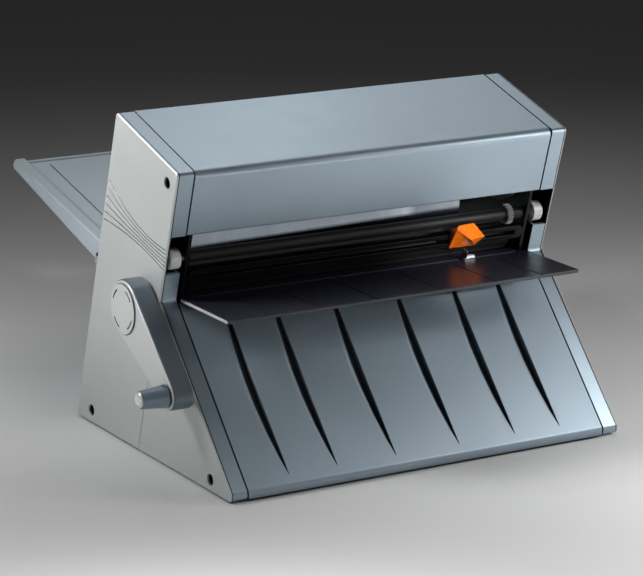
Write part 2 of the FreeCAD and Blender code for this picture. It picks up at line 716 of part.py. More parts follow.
def make_rear_skins():
    """Flat skins of the leaning rear face, above and below the feed slot."""
    rear = d("top_depth")
    front = minus(rear, d("skin"))
    bottom = "(%s / %s)" % (minus(TOP_REAR[1], d("rear_foot_gap")), COS_LEAN)
    spans = {
        "rear_cover": (plus(d("skin"), d("parting")), d("slot_top")),
        "rear_lower_panel": (d("slot_bottom"), bottom),
    }
    for name, (top, low) in spans.items():
        body = new_body(name)
        sk = sketch(body, "YZ_Plane", name + "_profile")
        rectangle(sk, front, neg(low), rear, neg(top))
        pad(body, sk, SKIN_WIDTH, 0)
        lip = sketch(body, "YZ_Plane", name + "_lip")
        inner = minus(front, d("slot_lip"))
        if name == "rear_cover":
            rectangle(lip, inner, neg(low), front, neg(minus(low, d("skin"))))
        else:
            rectangle(lip, inner, neg(plus(top, d("skin"))), front, neg(top))
        pad(body, lip, SKIN_WIDTH, 0)
        deliver(in_head(body))


# Along a slash, from its lower tip: share of its length, of its widest width, of its depth.
SLASH_STATIONS = [
    ("0", "0.07", "0.05"), ("0.1", "0.4", "0.45"), ("0.25", "0.75", "0.8"),
    ("0.42", "0.97", "1"), ("0.57", "1", "1"), ("0.72", "0.84", "0.85"),
    ("0.87", "0.6", "0.65"), ("1", "0.42", "0.4"),
]
# Across a slash, from its rolled left lip to its upright right wall: share of width, of depth.
SLASH_PROFILE = [
    ("1", "0"), ("0.78", "0.06"), ("0.62", "0.24"), ("0.53", "0.55"), ("0.5", "1"),
    ("0", "1"), ("0", "0"),
]
PROUD = "0.01"  # a slash is cut from this far above the panel's face


def slash_stations():
    """(place up the ramp, width, depth) of every cross-section of a slash."""
    length = minus(d("slash_top"), d("slash_tip"))
    return [(plus(d("slash_tip"), times(share, length)), times(wide, d("slash_wide")),
             times(deep, d("slash_deep"))) for share, wide, deep in SLASH_STATIONS]


def slash_places():
    """x of the six slashes, which the grooves of the exit shelf run on from."""
    return [on_side(side, d(alias)) for alias in ("slash_inner", "slash_middle", "slash_outer")
            for side in (LEFT, RIGHT)]


def slash_section(body, name, station, x, width, depth):
    """Cross-section of a slash: rolled over on the left, an upright wall on the right."""
    sk = sketch(body, "XZ_Plane", name, neg(station))
    outline(sk, [(minus(x, times(across, width)), minus(PROUD, times(down, plus(depth, PROUD))))
                 for across, down in SLASH_PROFILE])
    return sk


def slash_backing(body, name, stations, x):
    """Solid rib behind one slash, so that the panel stays closed."""
    wall = d("slash_wall")
    under = neg("0.9 * Dims.skin")
    sk = sketch(body, "YZ_Plane", name, plus(x, wall))
    corners = [(station, neg(plus(depth, wall))) for station, width, depth in stations]
    outline(sk, [(d("slash_tip"), under)] + corners[1:] + [(d("slash_top"), under)])
    pad(body, sk, plus(d("slash_wide"), times("2", wall)), -1)


def make_ramp_panel():
    """Sloping front panel with six gill-like slashes; drawn with y up the ramp."""
    body = new_body("ramp_panel")
    skin = d("skin")
    slope_sin = "sin(%s)" % RAMP_ANGLE
    slope_cos = "cos(%s)" % RAMP_ANGLE
    drop = minus(d("lip_rise"), d("ramp_lip_gap"))
    sk = sketch(body, "YZ_Plane", "ramp_profile")
    inner_lip = times(skin, "(1 - %s) / %s" % (slope_sin, slope_cos))
    top = minus(RAMP_LENGTH, d("ramp_short"))
    outline(sk, [
        (neg(times(drop, slope_sin)), neg(times(drop, slope_cos))),
        ("0", "0"),
        (top, "0"),
        (top, neg(skin)),
        (inner_lip, neg(skin)),
        (minus(times(skin, slope_cos), times(drop, slope_sin)),
         neg(plus(times(skin, slope_sin), times(drop, slope_cos)))),
    ])
    pad(body, sk, SKIN_WIDTH, 0)

    def at_lip(edge):
        point = edge.Vertexes[0].Point
        return parallel_to(edge, Vector(1, 0, 0)) and abs(point.y) + abs(point.z) < TINY

    soften(body, "Fillet", d("ramp_lip_round"), at_lip)
    stations = slash_stations()
    places = slash_places()
    for count, x in enumerate(places):
        slash_backing(body, "slash_backing_%d" % count, stations, x)
    for count, x in enumerate(places):
        sections = [slash_section(body, "slash_%d_%d" % (count, step), station, x, width, depth)
                    for step, (station, width, depth) in enumerate(stations)]
        loft = body.newObject("PartDesign::SubtractiveLoft", "slash_cut_%d" % count)
        loft.Profile = sections[0]
        loft.Sections = sections[1:]
        loft.Ruled = True
    deliver(place(body, y="0", z=plus(d("lip_rise"), d("foot_lift")), turn=RAMP_ANGLE))


def make_exit_shelf():
    """Dark shelf the finished sheet slides out on."""
    body = new_body("exit_shelf")
    sk = sketch(body, "XY_Plane", "shelf_outline", d("shelf_top"))
    half, tongue = d("shelf_half"), d("shelf_tongue")
    front, shoulder, rear = d("shelf_front"), d("shelf_shoulder"), d("shelf_rear")
    outline(sk, [(neg(half), front), (half, front), (half, shoulder), (tongue, shoulder),
                 (tongue, rear), (neg(tongue), rear), (neg(tongue), shoulder),
                 (neg(half), shoulder)])
    pad(body, sk, d("shelf_thick"), -1)
    front_edge = number(front)
    soften(body, "Fillet", d("shelf_corner"),
           lambda edge: parallel_to(edge, Vector(0, 0, 1))
           and abs(edge.Vertexes[0].Point.y - front_edge) < TINY)
    soften(body, "Fillet", d("shelf_edge"),
           lambda edge: parallel_to(edge, Vector(1, 0, 0))
           and abs(edge.Vertexes[0].Point.y - front_edge) < TINY)
    grooves = sketch(body, "XY_Plane", "shelf_grooves", d("shelf_top"))
    half_groove = half_of(d("shelf_groove"))
    for middle in slash_places():
        rectangle(grooves, minus(middle, half_groove), minus(front, PAST),
                  plus(middle, half_groove), minus(shoulder, d("shelf_groove_stop")))
    pocket(body, grooves, d("shelf_groove_deep"))
    cut = sketch(body, "XY_Plane", "cutting_groove", d("shelf_top"))
    half_cut = half_of(d("cut_groove_wide"))
    cut_end = minus(tongue, d("cut_groove_inset"))
    rectangle(cut, neg(cut_end), minus(d("cut_groove_y"), half_cut),
              cut_end, plus(d("cut_groove_y"), half_cut))
    pocket(body, cut, d("cut_groove_deep"))
    deliver(stand(body))


def make_shelf_beam():
    """Angle that carries the rear of the shelf between the bearing plates."""
    body = new_body("shelf_beam")
    top = minus(d("shelf_top"), d("shelf_thick"))
    low = minus(top, d("beam_high"))
    front, wall = d("beam_front"), d("beam_wall")
    rear = plus(front, d("beam_deep"))
    sk = sketch(body, "YZ_Plane", "beam_profile")
    outline(sk, [(front, low), (plus(front, wall), low), (plus(front, wall), minus(top, wall)),
                 (rear, minus(top, wall)), (rear, top), (front, top)])
    pad(body, sk, times("2", d("plate_inner")), 0)
    deliver(stand(body))


def make_feed_plate():
    """Level plate that carries the sheet from the feed slot to the nip rollers."""
    body = new_body("feed_plate")
    front, rear, top = d("feed_front"), d("feed_rear"), d("shelf_top")
    thick = d("feed_thick")
    sk = sketch(body, "YZ_Plane", "feed_plate_profile")
    outline(sk, [(front, minus(top, times("2", thick))), (plus(front, thick), minus(top, thick)),
                 (minus(rear, thick), minus(top, thick)),
                 (minus(rear, thick), minus(top, d("feed_flange"))),
                 (rear, minus(top, d("feed_flange"))), (rear, top),
                 (plus(front, thick), top), (front, minus(top, thick))])
    pad(body, sk, times("2", d("plate_inner")), 0)
    deliver(stand(body))


# --- base --------------------------------------------------------------------

def make_base_plate():
    body = new_body("base_plate")
    half = minus(d("frame_inner"), d("parting"))
    sk = sketch(body, "XY_Plane", "base_outline", d("base_z"))
    rectangle(sk, neg(half), d("base_front"), half, d("base_rear"))
    pad(body, sk, d("base_thick"))
    flanges = sketch(body, "XY_Plane", "base_flanges", plus(d("base_z"), d("base_thick")))
    flange_rear = minus(d("base_rear"), d("base_flange_inset"))
    rectangle(flanges, neg(half), minus(flange_rear, d("base_thick")), half, flange_rear)
    pad(body, flanges, minus(d("base_flange"), d("base_thick")))
    deliver(stand(body))


def make_rubber_feet():
    members = []
    for side in (LEFT, RIGHT):
        for row_name, y in (("front", d("foot_front_y")), ("rear", d("foot_rear_y"))):
            name = "foot_%s_%s" % (SIDE_NAMES[side], row_name)
            foot = doc.addObject("Part::Cylinder", name)
            foot.setExpression("Radius", d("foot_radius"))
            foot.setExpression("Height", plus(d("foot_lift"), d("base_z")))
            foot.setExpression("Placement.Base.x", on_side(side, d("foot_inset_x")))
            foot.setExpression("Placement.Base.y", y)
            members.append(foot)
    deliver(group("rubber_feet", members))


# --- bearing plates and what runs between them --------------------------------

UPPER_DOWN = minus(d("lower_down"), d("nip_step"))

# Tie rods, as (back from the front face, down from the head's top).
TIE_PLACES = {
    "top": ("112", "14"),
    "middle": ("100", "112"),
    "low": ("98", "300"),
    "front": ("26", "178"),
}
# Corners of a bearing plate, also as (back, down).
PLATE_OUTLINE = [("3", "56"), ("30", "6"), ("118", "6"), ("118", "250"), ("106", "308"),
                 ("88", "308"), ("16", "226"), ("16", "170"), ("3", "150")]


def make_bearing_plates():
    for side in (LEFT, RIGHT):
        name = SIDE_NAMES[side] + "_bearing_plate"
        body = new_body(name)
        sk = sketch(body, "YZ_Plane", name + "_outline", on_side(side, d("plate_inner")))
        outline(sk, [(back, neg(down)) for back, down in PLATE_OUTLINE])
        for centre, radius in (
                ((d("nip_back"), neg(d("lower_down"))), d("bush_radius")),
                ((d("nip_back"), neg(UPPER_DOWN)), d("bush_radius")),
                ((d("guide_back"), neg(d("guide_down"))),
                 plus(d("guide_shaft"), d("guide_play")))):
            circle(sk, centre, radius)
        for back, down in TIE_PLACES.values():
            circle(sk, (back, neg(down)), d("tie_radius"))
        pad(body, sk, d("plate_thick"), side)
        soften(body, "Fillet", d("plate_corner"),
               lambda edge: parallel_to(edge, Vector(1, 0, 0)))
        deliver(in_head(body))


def make_tie_rods():
    members = []
    for key, (back, down) in TIE_PLACES.items():
        y, z = head_point(back, down)
        rod = doc.addObject("Part::Cylinder", "tie_rod_" + key)
        rod.Placement = Placement(Vector(0, 0, 0), Rotation(Vector(0, 1, 0), 90))
        rod.setExpression("Radius", d("tie_radius"))
        rod.setExpression("Height", times("2", d("frame_inner")))
        rod.setExpression("Placement.Base.x", neg(d("frame_inner")))
        rod.setExpression("Placement.Base.y", y)
        rod.setExpression("Placement.Base.z", plus(z, d("foot_lift")))
        members.append(rod)
    deliver(group("tie_rods", members))


def make_bushes():
    """Flanged bushes of the nip roller journals, two on each side."""
    bore = plus(d("shaft_radius"), d("journal_play"))
    outer = plus(d("plate_inner"), d("plate_thick"))
    flange_start = minus(d("plate_inner"), d("bush_flange_thick"))
    profile = [(flange_start, bore), (outer, bore), (outer, d("bush_radius")),
               (d("plate_inner"), d("bush_radius")), (d("plate_inner"), d("bush_flange")),
               (flange_start, d("bush_flange"))]
    members = []
    for side in (LEFT, RIGHT):
        for level, down in (("lower", d("lower_down")), ("upper", UPPER_DOWN)):
            name = "bush_%s_%s" % (SIDE_NAMES[side], level)
            body = turned(name, [(on_side(side, x), radius) for x, radius in profile])
            members.append(on_axis(body, d("nip_back"), down))
    deliver(group("roller_bushes", members))


def roller_shaft(name, left_end, right_end, down):
    """Stepped steel shaft: thick under the rubber, journals at both ends."""
    step = plus(d("nip_half"), d("shaft_shoulder"))
    body = turned(name, [(left_end, "0"), (right_end, "0"), (right_end, d("shaft_radius")),
                         (step, d("shaft_radius")), (step, d("sleeve_bore")),
                         (neg(step), d("sleeve_bore")), (neg(step), d("shaft_radius")),
                         (left_end, d("shaft_radius"))])
    return on_axis(body, d("nip_back"), down)


def make_nip_rollers():
    right_end = plus(d("gear_side"), d("gear_face"), d("shaft_end"))
    crank_end = neg(minus(plus(COVER_OUTER, d("crank_face")), d("crank_floor")))
    for level, left_end, down in (("lower", crank_end, d("lower_down")),
                                  ("upper", neg(right_end), UPPER_DOWN)):
        shaft = roller_shaft(level + "_roller_shaft", left_end, right_end, down)
        sleeve = turned(level + "_roller_sleeve",
                        tube_profile(neg(d("nip_half")), d("nip_half"),
                                     d("sleeve_bore"), d("nip_radius")))
        soften(sleeve, "Chamfer", d("rubber_chamfer"),
               lambda edge: edge.Curve.TypeId == "Part::GeomCircle"
               and edge.Curve.Radius > number(d("nip_radius")) - TINY)
        on_axis(sleeve, d("nip_back"), down)
        deliver(shaft, sleeve)


PRESSURE_ANGLE = 20.0
TOOTH_TIP = 0.9  # modules outside the pitch circle
TOOTH_ROOT = 1.2  # modules inside the pitch circle
TOOTH_THINNING = 0.12  # taken off each flank at the pitch circle, for backlash
FLANK_STEPS = 6


def gear_wire(start, teeth, module):
    """Closed outline of an involute spur gear at x = start, a tooth pointing along +Z."""
    pitch = teeth * module / 2
    base = pitch * math.cos(math.radians(PRESSURE_ANGLE))
    tip = pitch + TOOTH_TIP * module
    root = pitch - TOOTH_ROOT * module

    def flank_angle(radius):
        if radius <= base:
            return 0.0
        reach = math.sqrt((radius / base) ** 2 - 1)
        return reach - math.atan(reach)

    half_tooth = math.pi / (2 * teeth) - TOOTH_THINNING / pitch + flank_angle(pitch)
    foot = max(base, root)
    radii = [foot + (tip - foot) * i / FLANK_STEPS for i in range(FLANK_STEPS + 1)]
    points = []
    for tooth in range(teeth):
        middle = 2 * math.pi * tooth / teeth
        rising = [(r, middle - half_tooth + flank_angle(r)) for r in radii]
        falling = [(r, middle + half_tooth - flank_angle(r)) for r in reversed(radii)]
        foot_in = (root, rising[0][1])
        foot_out = (root, falling[-1][1])
        points += [foot_in] + rising + falling + [foot_out]
    corners = [Vector(start, r * math.sin(a), r * math.cos(a)) for r, a in points]
    return Part.makePolygon(corners + corners[:1])


def gear_solid(start, length, teeth, module, bore):
    blank = Part.Face(gear_wire(start, teeth, module)).extrude(Vector(length, 0, 0))
    past = float(PAST)
    hole = Part.makeCylinder(bore, length + 2 * past, Vector(start - past, 0, 0),
                             Vector(1, 0, 0))
    return blank.cut(hole)


def make_nip_gears():
    """Equal spur gears on the right ends of both nip roller shafts."""
    teeth = int(number(d("gear_teeth")))
    module = number(d("nip_step")) / teeth
    half_pitch = 180.0 / teeth
    for level, down, phase in (("lower", d("lower_down"), 0.0),
                               ("upper", UPPER_DOWN, half_pitch)):
        gear = doc.addObject("Part::Feature", level + "_roller_gear")
        gear.Label = level + "_roller_gear"
        gear.Shape = gear_solid(number(d("gear_side")), number(d("gear_face")),
                                teeth, module, number(d("shaft_radius")))
        lean = number(d("lean"))
        middle = Vector(0, number(head_y(d("nip_back"), down)),
                        number(plus(head_z(d("nip_back"), down), d("foot_lift"))))
        gear.Placement = Placement(middle, Rotation(Vector(1, 0, 0), lean + phase))
        deliver(gear)


def make_guide_roller():
    """Film guide roller behind the top cover's edge, with a knob at each end."""
    back, down = d("guide_back"), d("guide_down")
    roller = turned("guide_roller", tube_profile(neg(d("guide_half")), d("guide_half"),
                                                 d("guide_shaft"), d("guide_radius")))
    on_axis(roller, back, down)
    outer = plus(d("knob_start"), d("knob_length"))
    end = minus(outer, d("knob_wall"))
    shaft = turned("guide_roller_shaft", [(neg(end), "0"), (end, "0"), (end, d("guide_shaft")),
                                          (neg(end), d("guide_shaft"))])
    on_axis(shaft, back, down)
    chamfer = d("knob_chamfer")
    profile = [(d("knob_start"), d("guide_shaft")), (end, d("guide_shaft")), (end, "0"),
               (outer, "0"), (outer, minus(d("knob_radius"), chamfer)),
               (minus(outer, chamfer), d("knob_radius")), (d("knob_start"), d("knob_radius"))]
    knobs = []
    for side in (LEFT, RIGHT):
        name = "knob_" + SIDE_NAMES[side]
        knob = turned(name, [(on_side(side, x), radius) for x, radius in profile])
        knobs.append(on_axis(knob, back, down))
    deliver(roller, shaft, group("guide_roller_knobs", knobs))


def make_toothed_ring():
    """Toothed ring on the right of the guide roller."""
    teeth = int(number(d("ring_teeth")))
    module = 2 * number(d("ring_radius")) / (teeth + 2 * TOOTH_TIP)
    ring = doc.addObject("Part::Feature", "guide_toothed_ring")
    ring.Label = "guide_toothed_ring"
    ring.Shape = gear_solid(number(d("ring_start")), number(d("ring_length")), teeth, module,
                            number(d("guide_radius")))
    middle = Vector(0, number(head_y(d("guide_back"), d("guide_down"))),
                    number(plus(head_z(d("guide_back"), d("guide_down")), d("foot_lift"))))
    ring.Placement = Placement(middle, Rotation(Vector(1, 0, 0), number(d("lean"))))
    deliver(ring)


# --- film rolls ----------------------------------------------------------------

def make_film_rolls():
    """Two identical supply rolls: core, wound film and two end plugs."""
    core_bore = minus(d("core_radius"), d("core_wall"))
    hub_bore = plus(d("spindle_radius"), d("journal_play"))
    flange_start = plus(d("core_half"), d("plug_gap"))
    flange_end = plus(flange_start, d("flange_thick"))
    plug_start = minus(flange_start, d("plug_reach"))
    plug = [(plug_start, hub_bore), (d("hub_end"), hub_bore), (d("hub_end"), d("hub_radius")),
            (flange_end, d("hub_radius")), (flange_end, d("flange_radius")),
            (flange_start, d("flange_radius")), (flange_start, core_bore),
            (plug_start, core_bore)]
    for level in ("upper", "lower"):
        back, down = d(level + "_roll_back"), d(level + "_roll_down")
        core = turned(level + "_film_core",
                      tube_profile(neg(d("core_half")), d("core_half"), core_bore,
                                   d("core_radius")))
        film = turned(level + "_film_roll",
                      tube_profile(neg(d("film_left")), d("film_right"), d("core_radius"),
                                   d("film_radius")))
        on_axis(core, back, down)
        on_axis(film, back, down)
        plugs = []
        spindles = []
        for side in (LEFT, RIGHT):
            name = "%s_plug_%s" % (level, SIDE_NAMES[side])
            body = turned(name, [(on_side(side, x), radius) for x, radius in plug])
            plugs.append(on_axis(body, back, down))
            name = "%s_spindle_%s" % (level, SIDE_NAMES[side])
            start, end = d("spindle_start"), d("plate_inner")
            chamfer = d("spindle_chamfer")
            body = turned(name, [(on_side(side, x), radius) for x, radius in (
                (start, "0"), (end, "0"), (end, d("spindle_radius")),
                (plus(start, chamfer), d("spindle_radius")),
                (start, minus(d("spindle_radius"), chamfer)))])
            spindles.append(on_axis(body, back, down))
        deliver(core, film, group(level + "_core_plugs", plugs),
                group(level + "_roll_spindles", spindles))


def make_film_web():
    """Film between the upper roll and the guide roller: a flat web on their common tangent."""
    roll = Vector(number(d("upper_roll_back")), -number(d("upper_roll_down")), 0)
    guide = Vector(number(d("guide_back")), -number(d("guide_down")), 0)
    roll_reach = number(d("film_radius")) + number(d("web_gap"))
    guide_reach = number(d("guide_radius")) + number(d("web_gap")) + number(d("web_thick"))
    between = roll - guide
    along = Vector(between).normalize()
    square = Vector(-along.y, along.x, 0)
    tilt = -(roll_reach + guide_reach) / between.Length
    outward = along * tilt + square * math.sqrt(1 - tilt * tilt)
    low_in = guide - outward * guide_reach
    top_in = roll + outward * roll_reach
    thick = outward * number(d("web_thick"))
    left, right = -number(d("film_left")), number(d("film_right"))
    corners = [Vector(left, p.x, p.y) for p in (low_in, top_in, top_in + thick, low_in + thick)]
    face = Part.Face(Part.makePolygon(corners + corners[:1]))
    solid = face.extrude(Vector(right - left, 0, 0))
    web = doc.addObject("Part::Feature", "upper_film_web")
    web.Label = "upper_film_web"
    web.Shape = solid
    web.Placement = Placement(
        Vector(0, number(d("head_y")), number(plus(d("head_z"), d("foot_lift")))),
        Rotation(Vector(1, 0, 0), number(d("lean"))))
    deliver(web)


# --- cutter ----------------------------------------------------------------------

RAIL_MIDDLE = neg(plus(d("rail_top"), half_of(d("rail_high"))))


def make_cutter_rail():
    body = new_body("cutter_rail")
    half = d("rail_half")
    top, low = neg(d("rail_top")), neg(plus(d("rail_top"), d("rail_high")))
    sk = sketch(body, "XZ_Plane", "rail_outline", neg(d("rail_front")))
    rectangle(sk, neg(half), low, half, top)
    pad(body, sk, d("rail_thick"), -1)
    soften(body, "Fillet", d("rail_round"),
           lambda edge: parallel_to(edge, Vector(0, 1, 0)))
    slot = sketch(body, "XZ_Plane", "rail_slot_outline", neg(d("rail_front")))
    slot_half = minus(half, d("rail_slot_end"))
    reach = half_of(d("rail_slot"))
    rectangle(slot, neg(slot_half), minus(RAIL_MIDDLE, reach), slot_half,
              plus(RAIL_MIDDLE, reach))
    pocket(body, slot, plus(d("rail_thick"), PAST), -1)
    deliver(in_head(body))


def make_rail_brackets():
    """Blocks that hold the rail's ends to the bearing plates."""
    rear = plus(d("rail_front"), d("rail_thick"))
    body = new_body("rail_bracket")
    sk = sketch(body, "YZ_Plane", "rail_bracket_outline", d("plate_inner"))
    top = plus(d("rail_top"), d("bracket_top"))
    low = minus(plus(d("rail_top"), d("rail_high")), d("bracket_low"))
    rectangle(sk, rear, neg(low), plus(rear, d("bracket_deep")), neg(top))
    pad(body, sk, d("bracket_wide"), -1)
    in_head(body)
    deliver(mirrored_pair("cutter_rail_brackets", body))


# Corners of the cutter grip: left of the cutter's middle, below the grip's top. The base lies
# on the rail, and the ridge is a narrow strip in front of it.
GRIP_BASE = [("18", "2.5"), ("-8", "0"), ("-25", "17.3"), ("-14", "25.8"), ("16", "25.8")]
GRIP_RIDGE = [("18.5", "-5.5"), ("15.5", "-7"), ("-1.5", "11"), ("-1", "13"), ("19.5", "-3")]
SHORTEST_GRIP_EDGE = 4.0
# Corners of the blade: back from the head's front face, below the grip's bottom edge.
BLADE_OUTLINE = [("-10", "0"), ("-1", "0"), ("-1", "8"), ("-2.6", "12.5"), ("-3.8", "12.5"),
                 ("-10", "7")]


def make_cutter():
    """Faceted grip in front of the rail, its shoe in the slot, and the blade below."""
    x = d("cutter_x")
    base_y = minus(d("rail_front"), d("cutter_gap"))
    body = new_body("cutter_grip")
    top, low = neg(d("cutter_high")), neg(d("cutter_low"))
    base = sketch(body, "XZ_Plane", "grip_base", neg(base_y))
    outline(base, [(minus(x, across), minus(top, down)) for across, down in GRIP_BASE])
    front = sketch(body, "XZ_Plane", "grip_front", minus(d("cutter_reach"), base_y))
    outline(front, [(minus(x, across), minus(top, down)) for across, down in GRIP_RIDGE])
    loft = body.newObject("PartDesign::AdditiveLoft", "grip_loft")
    loft.Profile = base
    loft.Sections = [front]
    loft.Ruled = True
    soften(body, "Fillet", d("grip_edge"), lambda edge: edge.Length > SHORTEST_GRIP_EDGE
           and not all(abs(v.Point.y - number(base_y)) < TINY for v in edge.Vertexes))
    in_head(body)

    shoe = new_body("cutter_shoe")
    key_half = minus(half_of(d("rail_slot")), d("cutter_gap"))
    key_long = plus(d("rail_thick"), times("2", d("cutter_gap")))
    key = sketch(shoe, "XZ_Plane", "shoe_key", neg(base_y))
    rectangle(key, minus(x, d("shoe_half")), minus(RAIL_MIDDLE, key_half),
              plus(x, d("shoe_half")), plus(RAIL_MIDDLE, key_half))
    pad(shoe, key, key_long, -1)
    keeper = sketch(shoe, "XZ_Plane", "shoe_keeper", neg(plus(base_y, key_long)))
    keeper_reach = half_of(d("keeper_high"))
    rectangle(keeper, minus(x, d("keeper_half")), minus(RAIL_MIDDLE, keeper_reach),
              plus(x, d("keeper_half")), plus(RAIL_MIDDLE, keeper_reach))
    pad(shoe, keeper, d("keeper_thick"), -1)
    in_head(shoe)

    blade = new_body("cutter_blade")
    half_blade = half_of(d("blade_thick"))
    flat = sketch(blade, "YZ_Plane", "blade_outline", minus(x, half_blade))
    blade_top = minus(low, d("blade_gap"))
    outline(flat, [(back, minus(blade_top, down)) for back, down in BLADE_OUTLINE])
    pad(blade, flat, d("blade_thick"))
    in_head(blade)

    guard = new_body("blade_guard")
    block = sketch(guard, "XY_Plane", "guard_outline", plus(d("shelf_top"), d("guard_lift")))
    y = d("cut_groove_y")
    rectangle(block, plus(x, half_blade), minus(y, d("guard_front")),
              plus(x, d("guard_wide")), plus(y, d("guard_rear")))
    pad(guard, block, d("guard_high"))
    soften(guard, "Fillet", d("guard_corner"), lambda edge: parallel_to(edge, Vector(0, 0, 1)))
    stand(guard)
    deliver(body, shoe, blade, guard)


# --- feed tray --------------------------------------------------------------------

HINGE_DOWN = "((%s - Dims.tray_hinge_z + Dims.tray_hinge_back * sin(Dims.lean)) / %s)" % (
    TOP_REAR[1], COS_LEAN)
HINGE_BACK = plus(d("top_depth"), d("tray_hinge_back"))

# Stop at the pan's rear edge, as (along the tray from the pan's end, above the pan's top).
PAN_STOP = [("-6", "-5"), ("0", "-5"), ("0", "1.5"), ("-3", "1.5"), ("-5", "-2.5"),
            ("-6", "-2.5")]
# Guide grooves in the pan, as shares of its half width.
PAN_GROOVES = ("0.88", "0.44", "-0.44", "-0.88")
# Front and tip of a tray rail, as (along the tray, square to it).
RAIL_FRONT_LOW, RAIL_FRONT_HIGH = ("-10", "-8"), ("-10", "8")
RAIL_NOSE = "20"  # where the rail reaches its full height
# How far the three corners of the tip reach past the pan: low, middle and high.
RAIL_TIP = ("2", "5", "3")
RAIL_TIP_MIDDLE = "2"
# Hinge bracket: from the rear face round the pin, as (past the hinge axis, above it).
BRACKET_FOOT = "13"
BRACKET_NOSE = [("3", "-8"), ("8", "-3"), ("8", "4"), ("3", "8")]


def in_tray(body):
    """Place a piece drawn in the tray's own frame, hinge axis at its origin."""
    return on_axis(body, HINGE_BACK, HINGE_DOWN, d("tray_slope"))


def make_feed_tray():
    half = minus(d("tray_half"), d("rail_width"))
    pan = new_body("feed_tray_pan")
    top = d("tray_pan_top")
    length = d("tray_length")
    sk = sketch(pan, "XY_Plane", "pan_outline", top)
    rectangle(sk, neg(half), d("tray_start"), half, length)
    pad(pan, sk, d("tray_pan"), -1)
    lip = sketch(pan, "YZ_Plane", "pan_lip")
    outline(lip, [(plus(length, along), plus(top, up)) for along, up in PAN_STOP])
    pad(pan, lip, times("2", half), 0)
    grooves = sketch(pan, "XY_Plane", "pan_grooves", top)
    groove = d("tray_groove")
    for share in PAN_GROOVES:
        left = times(share, half)
        rectangle(grooves, left, plus(d("tray_start"), d("tray_groove_start")),
                  plus(left, groove), minus(length, d("tray_groove_stop")))
    pocket(pan, grooves, d("tray_groove_deep"))
    deliver(in_tray(pan))

    for side in (LEFT, RIGHT):
        name = "feed_tray_%s_rail" % SIDE_NAMES[side]
        rail = new_body(name)
        outer = on_side(side, d("tray_half"))
        profile = sketch(rail, "YZ_Plane", name + "_profile", outer)
        tip_low, tip_middle, tip_high = (plus(length, reach) for reach in RAIL_TIP)
        outline(profile, [RAIL_FRONT_LOW, ("0", neg(d("tray_rail_root"))),
                          (tip_low, neg(d("tray_tip_bottom"))), (tip_middle, RAIL_TIP_MIDDLE),
                          (tip_high, d("tray_tip_top")), (RAIL_NOSE, d("tray_rail_rise")),
                          RAIL_FRONT_HIGH])
        pad(rail, profile, d("rail_width"), -side)
        x_out = side * number(d("tray_half"))
        soften(rail, "Fillet", d("tray_edge"), lambda edge: outer_edge(edge, x_out))
        eye = sketch(rail, "YZ_Plane", name + "_eye", outer)
        circle(eye, ("0", "0"), plus(d("tray_pin"), d("journal_play")))
        pocket(rail, eye, plus(d("rail_width"), PAST), -side)
        deliver(in_tray(rail))


def make_tray_hinges():
    """Brackets on the rear of the side frames, each with its hinge pin."""
    bracket = new_body("tray_hinge_bracket")
    start = plus(d("frame_inner"), d("hinge_gap"))
    rear = d("top_depth")
    sk = sketch(bracket, "YZ_Plane", "hinge_bracket_profile", start)
    middle = neg(HINGE_DOWN)
    nose = [(plus(HINGE_BACK, past), plus(middle, up)) for past, up in BRACKET_NOSE]
    outline(sk, [(rear, minus(middle, BRACKET_FOOT))] + nose
            + [(rear, plus(middle, BRACKET_FOOT))])
    circle(sk, (HINGE_BACK, middle), d("tray_pin"))
    pad(bracket, sk, d("hinge_thick"))
    in_head(bracket)
    pin_end = plus(start, d("hinge_thick"), d("hinge_pin_past"))
    head_end = plus(pin_end, d("hinge_head_thick"))
    pin_start = plus(minus(d("tray_half"), d("rail_width")), d("hinge_pin_back"))
    pin = turned("tray_hinge_pin", [(pin_start, "0"), (head_end, "0"),
                                    (head_end, d("hinge_head")), (pin_end, d("hinge_head")),
                                    (pin_end, d("tray_pin")), (pin_start, d("tray_pin"))])
    on_axis(pin, HINGE_BACK, HINGE_DOWN)
    deliver(mirrored_pair("tray_hinge_brackets", bracket), mirrored_pair("tray_hinge_pins", pin))


# --- crank ---------------------------------------------------------------------------

CRANK_OUTER = neg(plus(COVER_OUTER, d("crank_face")))
CRANK_TURN = plus("180", d("crank_droop"))
SHORTEST_RIM_EDGE = 5.0


def on_crank(body, turn=CRANK_TURN):
    return on_axis(body, d("nip_back"), d("lower_down"), turn)


